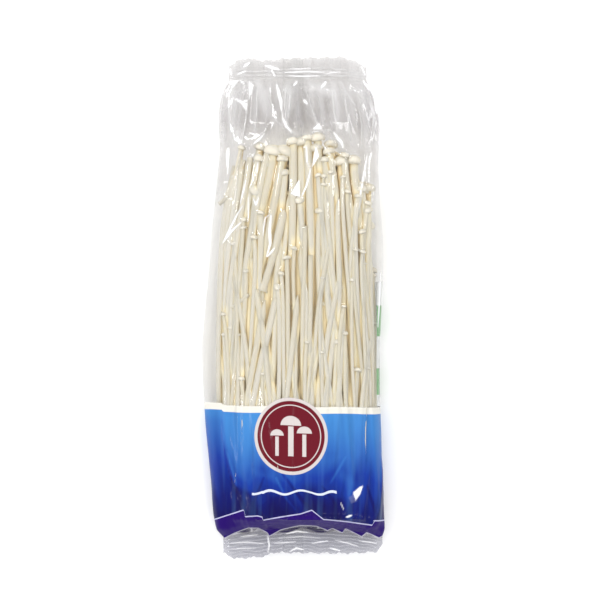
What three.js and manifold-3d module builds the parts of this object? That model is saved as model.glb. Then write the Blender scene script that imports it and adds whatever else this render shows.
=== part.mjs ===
// A bunch of enoki mushrooms in a clear film bag, lying on its back. Millimetres, +Z up.
// X runs across the bag and +Y from the cut root to the caps. The origin is mid bag, on the surface it lies on.
// The pieces are the bunch, which grew as one body from its root, a few mushrooms that broke off it and
// lie loose on the front, and the bag: one film wrapped round them, its long edges lapped along the back
// and both ends closed by a crimped seal.
import * as THREE from "three";
import { mergeVertices } from "three/addons/utils/BufferGeometryUtils.js";
import Module from "manifold-3d";

const wasm = await Module();
wasm.setup();

// ---- driving dimensions ----
const FILM = 0.8; // film wall of the solid
const CLEAR = 0.6; // free space between the film and what it holds
const SEAM_LAP = 10; // overlap of the film's long edges along the back
const SEAM_GAP = 0.3; // between the two lapped layers
const SEAL_LENGTH = 9.5; // crimped end seal, along Y
const SEAL_THICKNESS = 1.9;
const CRIMP_PITCH = 2.2; // ridges pressed across a seal
const CRIMP_HEIGHT = 0.35;
const ROOT_BOW = 4.2; // how far the root-end seal bows inwards at its middle
const ROOT_Y = -97; // plane the stems are rooted in
const PLANE_PITCH = 6; // spacing of the planes that the stems are packed in
const PLANE_COUNT = 31;
const ROUNDS = 110; // rounds of pushing the stems apart
const BEND_TOLERANCE = 1.45; // a faceted stem strays this much at most from the path packed for it
const CROWN_COUNT = 30; // mushrooms behind the front ones whose caps fill the crown
const BACK_COUNT = 7; // mushrooms on the underside
const SIDE_COUNT = 6; // stems along the two sides
const ELBOW_ROOM = 0.15; // free space kept round each stem
const FACET_SHARE = 0.92; // faceted stems are this much slimmer than the room packed for them
const CROWN_TOP = 80; // height of the caps behind the front ones, at the middle
const WELD = 0.03; // edges shorter than this close up where solids join
const SEED = 20731;

// Fused root of the bunch: heights along Y, and how far its surface is sunk there.
const ROOT_BLOCK = [[-101, -98, -90, -78], [3.4, 1.3, 1.3, 5.2]];

// The stems behind the front layer, packed so tight that they are one ribbed body as high as the crown.
const PACKED_HEIGHTS = [-95.5, -60, -20, 15, 40];
const PACKED_TOP = [48, 62]; // ribs end between these heights
const PACKED_SUNK = [[-94, 1.2], [-30, 2.4], [20, 3.4], [60, 4.6]]; // y, and how far it lies under the front
const SHOWN_LENGTH = 50; // length of a front mushroom before it sinks among the packed stems
const RIB_COLUMNS = 49; // ridges and valleys between the two sides
const RIB_DEPTH = 1.3;

// Outline of the closed bag, seen from the front and the side: y, left, right, underside, crest.
const BAG_OUTLINE = [
  [-109, -33.5, 43.0, 5.6, 8.6],
  [-105, -35.2, 43.3, 3.2, 15.5],
  [-100, -36.6, 43.4, 0.9, 21.0],
  [-92, -38.2, 43.3, 0, 24.5],
  [-75, -39.9, 42.9, 0, 27.0],
  [-58, -41.6, 42.5, 0, 28.0],
  [-38, -42.9, 41.7, 0, 28.6],
  [-15, -43.4, 41.8, 0, 29.0],
  [2, -42.0, 42.4, 0, 29.0],
  [18, -40.4, 43.1, 0, 28.6],
  [34, -39.2, 43.1, 0, 28.0],
  [50, -37.6, 41.9, 0, 26.5],
  [66, -36.1, 41.2, 0, 24.2],
  [79, -35.3, 41.2, 0, 21.0],
  [89, -36.0, 41.2, 0, 16.2],
  [98, -35.7, 40.0, 0, 11.2],
  [105, -34.0, 37.8, 0.3, 7.2],
  [110.6, -31.0, 35.4, 0.8, 3.9],
];
// Heights of the film's cross-sections, closer where it gathers towards a seal.
const FILM_HEIGHTS = [
  ...[-109, -106.5, -103.5, -100, -96, -91, -80, -64, -45, -25, -6],
  ...[12, 28, 44, 58, 70, 79, 86, 93, 99, 104, 108, 110.6],
];
// Left edge of the bunch itself, which leaves a flat flap of film beside it: y, x.
const BUNCH_LEFT = [
  [-100, -33.5],
  [-60, -36.5],
  [0, -36.5],
  [35, -35.5],
  [55, -33.5],
  [72, -29],
  [90, -20],
];
const SIDE_LEVEL = 0.38; // height of the bag's widest line, as a share of its thickness
const LEFT_POWER = 1.75; // superellipse powers: a pinched left side, a full right side, a flat underside
const RIGHT_POWER = 2.5;
const UNDER_POWER = 4;
const UNDER_FLAT = 1.08; // over 1, so that the middle of the underside is a true plane

// Mushrooms that show on the front: tip x, tip y, cap diameter (0 is a bare tip), stem diameter, root x.
const FRONT = [
  [-26, 78, 3.8, 2.8, -30], [-33, 69, 0, 2.0, -34.5], [-27.5, 63.5, 4.0, 3.2, -32.5],
  [-20, 72.5, 0, 3.0, -27], [-17, 75, 0, 3.6, -24], [-15.4, 72, 4.4, 3.2, -22],
  [-10.8, 77, 8.2, 4.0, -19.5], [-9.6, 69, 6.2, 3.8, -16], [-6, 66, 6.0, 3.4, -14.5],
  [-3, 75.5, 7.6, 4.6, -12], [-0.5, 80, 6.0, 3.6, -3], [5, 80.5, 8.4, 4.4, 4],
  [12.6, 82.5, 7.0, 3.4, 13.5], [14.8, 79, 6.2, 3.2, 17], [10.6, 76, 7.0, 4.2, 10.5],
  [20.6, 76, 5.2, 3.2, 24], [17.2, 71.5, 4.2, 3.0, 21.5], [22, 71, 6.4, 3.6, 27],
  [28.2, 71.5, 6.6, 4.0, 32.5], [19, 66, 3.6, 2.8, 22.5], [13.6, 64.4, 3.2, 2.4, 15],
  [16.8, 60, 3.8, 2.6, 20], [25.2, 63.6, 2.8, 2.2, 28.5], [27, 57, 3.8, 2.6, 30],
  [36, 58.5, 4.2, 2.8, 34.5], [37.6, 51.5, 4.4, 3.2, 37], [35.6, 48, 4.8, 3.6, 36],
  [34.2, 37.6, 3.4, 2.4, 34], [-6.4, 60, 4.2, 4.2, -15], [-19, 57.5, 5.4, 3.2, -26],
  [-18.6, 46.6, 4.2, 3.4, -24], [-19.6, 35, 3.6, 2.4, -23], [-27.6, 48, 0, 3.4, -31],
  [-26, 43.4, 3.2, 2.4, -29], [-24.8, 39.6, 3.8, 3.0, -28], [3.4, 53, 4.4, 3.0, 2],
  [14.8, 47.6, 4.0, 2.8, 16], [30.6, 29, 3.0, 2.2, 31], [33.8, 28.2, 3.0, 2.2, 33.5],
  [-3.2, 25.2, 3.2, 2.4, -4], [-7.4, 11.4, 3.4, 2.4, -9], [-23.2, 19, 2.8, 2.6, -25],
  [8.2, 26, 0, 2.2, 8], [10.6, 30.4, 0, 3.2, 30], [16, 15.6, 2.6, 1.9, 18],
  [30.4, 14.6, 2.8, 2.0, 31], [25.8, 2, 2.6, 2.0, 26], [-14, 31.6, 2.8, 2.6, -20],
  [-34, -1.8, 2.4, 1.9, -34], [-26.4, -11.4, 2.8, 2.4, -27], [-13.4, -17, 2.6, 3.0, -28],
  [15.6, -19.6, 2.4, 2.0, 16.5], [-22.5, 30, 0, 3.8, -4], [14.4, 41, 0, 3.4, 25.5],
  [-5, 41, 0, 3.4, -17],
];
const FRONT_FIELDS = ["tipX", "tipY", "cap", "stem", "rootX"];

// Mushrooms that broke off and lie loose under the film: the two ends (x, y) and the diameters there.
const LOOSE = {
  loose_mushroom: { ends: [[-4.2, 48], [-14.6, 9]], diameters: [4.4, 3.2], foot: 5.2 },
  loose_stem_short: { ends: [[-30.8, 54.6], [-35.6, 50.8]], diameters: [2.2, 2.0], foot: 0 },
  loose_stem_cross: { ends: [[-21.2, 7.4], [-29, 1.2]], diameters: [2.2, 1.9], foot: 0 },
};

const PALE = 0xf0e7cf;
const materials = {
  bunch: new THREE.MeshStandardMaterial({ color: PALE, roughness: 0.5, metalness: 0 }),
  loose: new THREE.MeshStandardMaterial({ color: 0xeee4c8, roughness: 0.5, metalness: 0 }),
  bag: new THREE.MeshStandardMaterial({ color: 0x3f7fd0, roughness: 0.15, metalness: 0 }),
};

// ---- small helpers ----

// Repeatable draws from 0 to 1.
function seededDraws(seed) {
  let state = seed;
  return () => {
    state = (state * 16807) % 2147483647;
    return state / 2147483647;
  };
}

// Smooth value of one column of a table whose first column rises.
function fromTable(table, column, y) {
  const last = table.length - 1;
  if (y <= table[0][0]) return table[0][column];
  if (y >= table[last][0]) return table[last][column];
  const i = table.findIndex((row) => row[0] > y) - 1;
  const t = (y - table[i][0]) / (table[i + 1][0] - table[i][0]);
  const ease = t * t * (3 - 2 * t);
  const share = 0.5 * t + 0.5 * ease;
  return table[i][column] + (table[i + 1][column] - table[i][column]) * share;
}

const clamp = (value, low, high) => Math.min(high, Math.max(low, value));

// A closed mesh as a manifold-3d solid, turned the right way out.
function solidFrom(positions, index) {
  const geometry = new THREE.BufferGeometry();
  geometry.setAttribute("position", new THREE.Float32BufferAttribute(positions, 3));
  geometry.setIndex(index);
  const merged = mergeVertices(geometry, 1e-4);
  const vertProperties = merged.attributes.position.array;
  const triVerts = new Uint32Array(merged.index.array);
  const parts = { numProp: 3, vertProperties, triVerts, tolerance: WELD };
  const make = () => new wasm.Manifold(new wasm.Mesh(parts));
  const made = make();
  if (made.volume() > 0) return made;
  for (let i = 0; i < triVerts.length; i += 3) {
    [triVerts[i + 1], triVerts[i + 2]] = [triVerts[i + 2], triVerts[i + 1]];
  }
  return make();
}

// A three.js mesh of a solid.
function meshFrom(name, solid, material) {
  const made = solid.getMesh();
  const geometry = new THREE.BufferGeometry();
  geometry.setAttribute("position", new THREE.Float32BufferAttribute(made.vertProperties, 3));
  geometry.setIndex(new THREE.BufferAttribute(made.triVerts, 1));
  geometry.computeVertexNormals();
  const mesh = new THREE.Mesh(geometry, material);
  mesh.name = name;
  return mesh;
}

// Lofts rings of equal point counts. The ends close by a fan, or by pairs where a ring is a folded ribbon.
function loft(rings, endsByPairs) {
  const count = rings[0].length;
  const positions = rings.flat().flatMap((p) => [p.x, p.y, p.z]);
  const index = [];
  for (let r = 0; r + 1 < rings.length; r += 1) {
    for (let i = 0; i < count; i += 1) {
      const a = r * count + i;
      const b = r * count + ((i + 1) % count);
      index.push(a, b, a + count, b, b + count, a + count);
    }
  }
  for (const [start, flip] of [[0, true], [(rings.length - 1) * count, false]]) {
    const add = (a, b, c) => (flip ? index.push(a, c, b) : index.push(a, b, c));
    if (endsByPairs) {
      for (let i = 0; i + 1 < count / 2; i += 1) {
        const [a, b] = [start + i, start + i + 1];
        const [d, c] = [start + count - 1 - i, start + count - 2 - i];
        add(a, b, c);
        add(a, c, d);
      }
    } else {
      for (let i = 1; i + 1 < count; i += 1) add(start, start + i, start + i + 1);
    }
  }
  return solidFrom(positions, index);
}

// ---- the bag's form ----

// Outline of the bag at y, with its outer surface moved inwards by inset.
function bagSection(y, inset = 0) {
  const [left, right, under, crest] = [1, 2, 3, 4].map((column) => fromTable(BAG_OUTLINE, column, y));
  return {
    middle: (left + right) / 2,
    half: (right - left) / 2 - inset,
    side: under + SIDE_LEVEL * (crest - under),
    under: under + inset,
    crest: crest - inset,
  };
}

// Outline at y of what the bag holds: free of the film, and over the lapped seam.
function heldSection(y, inset) {
  const section = bagSection(y - ROOT_BOW * rootShare(y), FILM + CLEAR + inset);
  section.under += FILM + SEAM_GAP;
  return section;
}

// Outline at y of the packed stems, sunk by an inset.
function packedSection(y, inset) {
  const section = heldSection(y, inset);
  section.crest -= fromTable(PACKED_SUNK, 1, y);
  return section;
}

// How far a point of the cross-section is from the bag's middle line, where 1 is on the outline.
function reach(section, x, z) {
  const across = Math.abs(x - section.middle) / section.half;
  if (z < section.side) {
    const down = (section.side - z) / (section.side - section.under);
    return (across ** UNDER_POWER + down ** UNDER_POWER) ** (1 / UNDER_POWER);
  }
  const power = x < section.middle ? LEFT_POWER : RIGHT_POWER;
  const up = (z - section.side) / (section.crest - section.side);
  return (across ** power + up ** power) ** (1 / power);
}

// Level of the outline over or under x.
function levelAt(section, x, over) {
  const across = Math.min(1, Math.abs(x - section.middle) / section.half);
  if (!over) {
    const drop = Math.min(1, UNDER_FLAT * (1 - across ** UNDER_POWER) ** (1 / UNDER_POWER));
    return section.side - (section.side - section.under) * drop;
  }
  const power = x < section.middle ? LEFT_POWER : RIGHT_POWER;
  return section.side + (section.crest - section.side) * (1 - across ** power) ** (1 / power);
}

// The root end is drawn inwards at its middle, and both seals' free edges are a little uneven.
const rootShare = (y) => clamp((-y - 84) / 25, 0, 1) ** 2;
const rootBow = (x) => ROOT_BOW * (1 - ((x - 5) / 38) ** 2);
const rootEdge = (x) => -1.3 * (1 - (x + 31) / 74) + 0.5 * Math.sin(x * 0.31);
const capEdge = (x) => -1.6 * ((x - 8) / 34) ** 2 + 0.5 * Math.sin(x * 0.23 + 1);

// ---- packing of the stems ----

// Every mushroom of the bunch: the front layer as listed, and the rest by a seeded rule.
function sowMushrooms() {
  const draw = seededDraws(SEED);
  const front = FRONT.map((row) => {
    const made = Object.fromEntries(FRONT_FIELDS.map((field, i) => [field, row[i]]));
    const shown = SHOWN_LENGTH + Math.max(0, made.tipY - 50);
    return { ...made, front: true, share: 0.97, shown, bow: (draw() - 0.5) * 3 };
  });
  const fill = (count, rule) =>
    Array.from({ length: count }, (_, i) => {
      const { tipX, drop, share } = rule((i + 0.5) / count, i);
      const stem = 2.4 + 1.2 * draw();
      return {
        tipX,
        tipY: CROWN_TOP - 0.021 * (tipX - 4) ** 2 - drop,
        cap: stem * (1.2 + 0.5 * draw()),
        stem,
        rootX: 2.5 + (tipX - 2.5) * 1.1,
        front: false,
        share,
        shown: 60,
        bow: (draw() - 0.5) * 3,
      };
    });
  const spread = (i) => ((i * 0.618034) % 1) * 2 - 1;
  const crown = fill(CROWN_COUNT, (at, i) => ({
    tipX: 2.5 + 29 * spread(i),
    drop: 3 + 22 * draw(),
    share: 0.15 + 0.6 * at,
  }));
  const back = fill(BACK_COUNT, (at) => ({
    tipX: 2.5 + 31 * (2 * at - 1),
    drop: 8 + 60 * draw(),
    share: 0.03,
  }));
  const side = fill(SIDE_COUNT, (at, i) => ({
    tipX: i % 2 ? 34 : -31,
    drop: 12 + 30 * draw(),
    share: 0.2 + 0.5 * at,
  }));
  return [...front, ...crown, ...back, ...side];
}

const planeY = (k) => ROOT_Y + k * PLANE_PITCH;

// Stem radius at y: slim at the root, full under the cap.
function stemRadius(m, y) {
  const along = clamp((y - ROOT_Y) / (m.tipY - ROOT_Y), 0, 1);
  return (m.stem / 2) * (0.7 + 0.3 * along);
}

// Radius that a mushroom needs at y, its cap included.
function roomRadius(m, y) {
  const nearCap = Math.abs(y - m.tipY) < PLANE_PITCH * 0.75;
  return nearCap ? Math.max(m.cap / 2, stemRadius(m, y)) : stemRadius(m, y);
}

// Middle of a loose piece where it crosses a plane, or null.
function looseAt(piece, y) {
  const [a, b] = piece.ends;
  const t = (y - a[1]) / (b[1] - a[1]);
  if (t < -0.08 || t > 1.08) return null;
  const slant = Math.hypot(b[0] - a[0], b[1] - a[1]) / Math.abs(b[1] - a[1]);
  const radius = (Math.max(...piece.diameters, piece.foot) / 2 + SEAM_GAP) * Math.min(1.6, slant);
  return { x: a[0] + (b[0] - a[0]) * t, z: looseLevel(piece, clamp(t, 0, 1)), radius };
}

// Level of a loose piece's middle line at share t of its length, just under the film.
function looseLevel(piece, t) {
  const [a, b] = piece.ends;
  const [x, y] = [a[0] + (b[0] - a[0]) * t, a[1] + (b[1] - a[1]) * t];
  const radius = Math.max(...piece.diameters, piece.foot) / 2;
  return levelAt(heldSection(y, radius), x, true);
}

// Keeps a stem of that radius inside the film and right of the bunch's left edge.
function confine(point, y, radius) {
  const section = heldSection(y, radius);
  const left = fromTable(BUNCH_LEFT, 1, y) + radius;
  point.x = Math.max(point.x, left);
  const far = reach(section, point.x, point.z);
  if (far <= 1) return;
  point.x = section.middle + (point.x - section.middle) / far;
  point.z = section.side + (point.z - section.side) / far;
}

// Paths of the stems on the packing planes. Stems push each other apart until they lie side by side.
function packStems(mushrooms) {
  const paths = mushrooms.map((m) =>
    Array.from({ length: PLANE_COUNT }, (_, k) => {
      const y = planeY(k);
      const along = clamp((y - ROOT_Y) / (m.tipY - ROOT_Y), 0, 1);
      const x = m.rootX + (m.tipX - m.rootX) * along + m.bow * Math.sin(Math.PI * along);
      const section = heldSection(y, m.stem / 2);
      const bed = levelAt(packedSection(y, RIB_DEPTH + m.stem / 2), x, true);
      const sunk = m.front ? clamp((m.tipY - y) / m.shown, 0, 1) ** 2 : 0;
      const z = section.under + (levelAt(section, x, true) - section.under) * m.share;
      const level = z + (bed - z) * sunk;
      return { x, z: level, wantX: x, wantZ: level };
    }),
  );
  const present = mushrooms.map((m) =>
    paths[0].map((_, k) => planeY(k) <= m.tipY + PLANE_PITCH * 0.75 && planeY(k) >= m.tipY - m.shown),
  );
  const rooms = mushrooms.map((m) => paths[0].map((_, k) => roomRadius(m, planeY(k)) + ELBOW_ROOM));
  const loose = Object.values(LOOSE);
  for (let round = 0; round < ROUNDS; round += 1) {
    const ease = Math.max(0.15, 1 - (1.25 * round) / ROUNDS);
    for (let k = 0; k < PLANE_COUNT; k += 1) {
      const here = mushrooms.map((_, i) => i).filter((i) => present[i][k]);
      const push = here.map(() => ({ x: 0, z: 0 }));
      for (let a = 0; a < here.length; a += 1) {
        const p = paths[here[a]][k];
        for (let b = a + 1; b < here.length; b += 1) {
          const q = paths[here[b]][k];
          const need = rooms[here[a]][k] + rooms[here[b]][k];
          const [dx, dz] = [p.x - q.x, p.z - q.z];
          const gap = Math.hypot(dx, dz) + 1e-6;
          if (gap >= need) continue;
          const part = (0.45 * (need - gap)) / gap;
          push[a].x += dx * part;
          push[a].z += dz * part;
          push[b].x -= dx * part;
          push[b].z -= dz * part;
        }
        for (const piece of loose) {
          const obstacle = looseAt(piece, planeY(k));
          if (!obstacle) continue;
          const [dx, dz] = [p.x - obstacle.x, p.z - obstacle.z];
          const gap = Math.hypot(dx, dz) + 1e-6;
          const need = rooms[here[a]][k] + obstacle.radius;
          if (gap >= need) continue;
          push[a].x += (dx * (need - gap) * 0.3) / gap;
          push[a].z -= (need - gap) * 0.9;
        }
      }
      here.forEach((i, a) => {
        const p = paths[i][k];
        p.x += clamp(push[a].x, -1, 1);
        p.z += clamp(push[a].z, -1, 1);
      });
    }
    mushrooms.forEach((m, i) => {
      const path = paths[i];
      const old = path.map((p) => ({ dx: p.x - p.wantX, dz: p.z - p.wantZ }));
      const hold = (m.front ? 0.05 : 0.01) * ease;
      const blend = 0.25 * ease;
      path.forEach((p, k) => {
        const [before, after] = [old[Math.max(0, k - 1)], old[Math.min(PLANE_COUNT - 1, k + 1)]];
        p.x = p.wantX + (1 - hold) * ((1 - 2 * blend) * old[k].dx + blend * (before.dx + after.dx));
        p.z = p.wantZ + (1 - hold) * ((1 - 2 * blend) * old[k].dz + blend * (before.dz + after.dz));
        confine(p, planeY(k), rooms[i][k]);
      });
    });
  }
  return paths;
}

// Point of a packed stem at any y, straight between its planes.
function pathPoint(path, y) {
  const at = clamp((y - ROOT_Y) / PLANE_PITCH, 0, PLANE_COUNT - 1.001);
  const k = Math.floor(at);
  const t = at - k;
  return new THREE.Vector3(
    path[k].x + (path[k + 1].x - path[k].x) * t,
    y,
    path[k].z + (path[k + 1].z - path[k].z) * t,
  );
}

// ---- solids ----

// A ring of points round a centre, square to the way the stem runs.
function ringRound(centre, along, radius, sides, turn = 0) {
  const sideways = new THREE.Vector3().crossVectors(along, new THREE.Vector3(0, 0, 1)).normalize();
  const up = new THREE.Vector3().crossVectors(sideways, along).normalize();
  return Array.from({ length: sides }, (_, i) => {
    const angle = turn + (i / sides) * Math.PI * 2;
    return centre
      .clone()
      .addScaledVector(sideways, Math.cos(angle) * radius)
      .addScaledVector(up, Math.sin(angle) * radius);
  });
}

// A stem through its centre points, with a radius at each.
function stemSolid(points, radii, sides, turn) {
  const rings = points.map((point, i) => {
    const [before, after] = [points[Math.max(0, i - 1)], points[Math.min(points.length - 1, i + 1)]];
    const along = new THREE.Vector3().subVectors(after, before).normalize();
    return ringRound(point, along, radii[i], sides, turn);
  });
  return loft(rings, false);
}

// A button cap with its rim curled in, on the end of a stem.
function capSolid(tip, along, radius, sides) {
  const large = [[0, -0.4], [0.7, -0.36], [1, 0], [0.72, 0.52], [0, 0.76]];
  const small = [[0, -0.4], [0.96, -0.25], [0.84, 0.4], [0, 0.72]];
  const profile = sides > 6 ? large : small;
  const points = profile.map(([r, h]) => new THREE.Vector2(r * radius, h * radius));
  const geometry = new THREE.LatheGeometry(points, sides);
  geometry.deleteAttribute("normal");
  geometry.deleteAttribute("uv");
  const turn = new THREE.Quaternion().setFromUnitVectors(new THREE.Vector3(0, 1, 0), along);
  geometry.applyQuaternion(turn).translate(tip.x, tip.y, tip.z);
  return solidFrom(geometry.attributes.position.array, [...geometry.index.array]);
}

// Leaves out the points of a path that lie within the tolerance of a straight run.
function straightened(points) {
  const [first, last] = [points[0], points[points.length - 1]];
  const chord = new THREE.Line3(first, last);
  const foot = new THREE.Vector3();
  const strays = points.map((point) => chord.closestPointToPoint(point, true, foot).distanceTo(point));
  const worst = strays.indexOf(Math.max(...strays));
  if (strays[worst] < BEND_TOLERANCE) return [first, last];
  return [...straightened(points.slice(0, worst + 1)), ...straightened(points.slice(worst)).slice(1)];
}

// Whether a stem is hidden inside the packed stems at y.
function isPacked(path, y) {
  const point = pathPoint(path, y);
  return y < PACKED_HEIGHTS.at(-1) && reach(packedSection(y, RIB_DEPTH + 1.2), point.x, point.z) < 1;
}

// One mushroom of the bunch, its foot on the root plane or hidden among the packed stems.
function mushroomSolid(m, path, turn) {
  const planes = path.map((_, k) => planeY(k)).filter((y) => y < m.tipY - 4);
  const isHidden = (y) => (m.front ? y < m.tipY - m.shown : isPacked(path, y));
  const start = planes.findLastIndex((y) => y === ROOT_Y || isHidden(y));
  const points = straightened([...planes.slice(start), m.tipY].map((y) => pathPoint(path, y)));
  const radii = points.map((point) => stemRadius(m, point.y) * FACET_SHARE);
  const last = points.length - 1;
  if (m.cap === 0) radii[last] *= 0.45;
  const stem = stemSolid(points, radii, 5, turn);
  if (m.cap === 0) return stem;
  const along = new THREE.Vector3().subVectors(points[last], points[last - 1]).normalize();
  return stem.add(capSolid(points[last], along, m.cap / 2, m.cap > 5 ? 8 : 6));
}

// A block of the held outline over those heights, with its surface sunk by an inset at each.
function blockSolid(heights, insets, half) {
  const rings = heights.map((y, i) => {
    const section = heldSection(y, insets[i]);
    const left = Math.max(section.middle - section.half, fromTable(BUNCH_LEFT, 1, y) + insets[i]);
    const right = section.middle + section.half;
    const xs = Array.from({ length: half }, (_, j) => {
      const share = 0.5 - 0.5 * Math.cos((Math.PI * (j + 0.5)) / half);
      return left + (right - left) * share;
    });
    const over = xs.map((x) => new THREE.Vector3(x, y, levelAt(section, x, true)));
    const under = xs.map((x) => new THREE.Vector3(x, y, levelAt(section, x, false)));
    return [...over, ...under.reverse()];
  });
  return loft(rings, true);
}

// The packed stems behind the front layer, as one ribbed body.
function packedSolid() {
  const draw = seededDraws(SEED + 1);
  const columns = Array.from({ length: RIB_COLUMNS }, (_, j) => {
    const at = (j + 0.5 + (draw() - 0.5) * 0.5) / RIB_COLUMNS;
    const top = PACKED_TOP[0] + (PACKED_TOP[1] - PACKED_TOP[0]) * draw() - 10 * (2 * at - 1) ** 2;
    const share = 0.55 * at + 0.45 * (0.5 - 0.5 * Math.cos(Math.PI * at));
    return { share, valley: j % 2 === 0 ? RIB_DEPTH : 0, top };
  });
  const ring = (heightOf) => {
    const point = (column, over) => {
      const y = heightOf(column);
      const { middle, half } = packedSection(y, RIB_DEPTH + 0.4);
      const left = Math.max(middle - half, fromTable(BUNCH_LEFT, 1, y) + 1.5);
      const x = left + (middle + half - left) * column.share;
      return new THREE.Vector3(x, y, levelAt(packedSection(y, column.valley), x, over));
    };
    const [front, back] = [true, false].map((over) => columns.map((column) => point(column, over)));
    return [...front, ...back.reverse()];
  };
  return loft([...PACKED_HEIGHTS.map((y) => ring(() => y)), ring((column) => column.top)], true);
}

// The bunch: fused root, packed stems, and the mushrooms that stand out of them.
function bunchSolid(mushrooms, paths, looseSolids) {
  const root = blockSolid(...ROOT_BLOCK, 7);
  const solids = mushrooms.map((m, i) => mushroomSolid(m, paths[i], i));
  let bunch = wasm.Manifold.union([root, packedSolid(), ...solids]);
  for (const solid of looseSolids) bunch = bunch.subtract(solid);
  const bodies = bunch.decompose();
  bodies.sort((a, b) => b.volume() - a.volume());
  return bodies[0];
}

// A broken-off mushroom under the film; grow widens it to the room that it needs.
function looseSolid(piece, grow = 0) {
  const steps = 4;
  const [a, b] = piece.ends;
  const shares = Array.from({ length: steps + 1 }, (_, i) => i / steps);
  const points = shares.map(
    (t) => new THREE.Vector3(a[0] + (b[0] - a[0]) * t, a[1] + (b[1] - a[1]) * t, looseLevel(piece, t)),
  );
  const [tip, foot] = piece.diameters;
  const radii = shares.map((t) => (tip + (foot - tip) * t) / 2 + grow);
  radii[0] *= 0.6;
  if (piece.foot) radii[steps] = piece.foot / 2 + grow;
  if (grow) {
    const along = new THREE.Vector3().subVectors(points[steps], points[0]).normalize();
    points[0].addScaledVector(along, -grow);
    points[steps].addScaledVector(along, grow);
    radii[0] += grow;
  }
  return stemSolid(points, radii, 7, 0.4);
}

// Cross-section of the film at y as a folded ribbon: its outer points, then its inner points back again.
// It starts under the lapped seam, runs left along the back, over the front and back to the seam.
function filmRing(y, skew) {
  const outer = bagSection(y);
  const inner = bagSection(y, FILM);
  inner.crest = Math.max(inner.crest, outer.under + 2.15);
  const lift = FILM + SEAM_GAP;
  const lap = SEAM_LAP / 2;
  const rails = [];
  const add = (ox, oz, ix, iz) => rails.push([ox, oz, ix, iz]);
  add(lap, outer.under + lift, lap, outer.under + lift + FILM);
  add(-lap, outer.under + lift, -lap, outer.under + lift + FILM);
  add(-lap - 1.5, outer.under, -lap - 1.2, outer.under + FILM);
  const underXs = [0.42, 0.66, 0.84, 0.95];
  const overXs = [-0.985, -0.9, -0.76, -0.55, -0.3, 0, 0.3, 0.55, 0.76, 0.9, 0.985];
  const at = (section, share, over) => {
    const x = section.middle + section.half * share;
    return [x, levelAt(section, x, over)];
  };
  for (const share of underXs) add(...at(outer, -share, false), ...at(inner, -share, false));
  add(outer.middle - outer.half, outer.side, inner.middle - inner.half, outer.side);
  for (const share of overXs) add(...at(outer, share, true), ...at(inner, share, true));
  add(outer.middle + outer.half, outer.side, inner.middle + inner.half, outer.side);
  for (const share of underXs.toReversed()) add(...at(outer, share, false), ...at(inner, share, false));
  add(-lap + 0.4, outer.under, -lap + 0.4, outer.under + FILM);
  const point = (x, z) => new THREE.Vector3(x, y + skew(x), z);
  return [...rails.map((r) => point(r[0], r[1])), ...rails.map((r) => point(r[2], r[3])).reverse()];
}

// A crimped end seal from its film end (start) to its free edge, pressed into ridges across its length.
function sealSolid(end, start, length, edge) {
  const steps = Math.round((length * 2) / CRIMP_PITCH);
  const section = bagSection(start);
  const level = (section.under + section.crest) / 2;
  const half = 11;
  const rings = Array.from({ length: steps + 1 }, (_, i) => {
    const along = i / steps;
    const ridge = (i % 2 === 0 ? -1 : 1) * CRIMP_HEIGHT;
    const thick = i === 0 ? SEAL_THICKNESS * 0.8 : SEAL_THICKNESS;
    const shares = Array.from({ length: half }, (_, j) => -1 + (2 * j) / (half - 1));
    const xs = shares.map((share) => section.middle + section.half * 0.985 * share);
    const bow = (x) => (end < 0 ? (1 - along) * rootBow(x) : 0);
    const y = (x) => start + end * length * along + bow(x) + along * edge(x);
    const rail = (offset) => xs.map((x) => new THREE.Vector3(x, y(x), level + ridge + offset));
    return [...rail(thick / 2), ...rail(-thick / 2).reverse()];
  });
  return loft(rings, true);
}

// The bag: the film tube with its lapped seam, and the seals that close it.
function bagSolid() {
  const rings = FILM_HEIGHTS.map((y) => filmRing(y, (x) => rootShare(y) * rootBow(x)));
  const rootSeal = sealSolid(-1, -108.2, SEAL_LENGTH + 1.2, rootEdge);
  const capSeal = sealSolid(1, 109.8, SEAL_LENGTH + 1.2, capEdge);
  return wasm.Manifold.union([loft(rings, true), rootSeal, capSeal]);
}

// ---- assembly ----

const mushrooms = sowMushrooms();
const paths = packStems(mushrooms);
const grown = Object.values(LOOSE).map((piece) => looseSolid(piece, SEAM_GAP));

const part = new THREE.Group();
part.name = "enoki_bunch_in_bag";
part.add(meshFrom("bunch", bunchSolid(mushrooms, paths, grown), materials.bunch));
for (const [name, piece] of Object.entries(LOOSE)) {
  part.add(meshFrom(name, looseSolid(piece), materials.loose));
}
part.add(meshFrom("bag", bagSolid(), materials.bag));

export default part;
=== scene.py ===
"""A bunch of enoki mushrooms in a clear film bag, lying on its back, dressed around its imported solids.

Sizes inside the classes are millimetres, in the part's own frame: X across the bag, +Y from the root to the
caps, +Z up.
"""

import logging
import math
from dataclasses import dataclass, field
from enum import Enum

import bpy
import numpy as np
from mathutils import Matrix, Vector, noise
from mathutils.bvhtree import BVHTree
from mathutils.geometry import delaunay_2d_cdt

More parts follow.
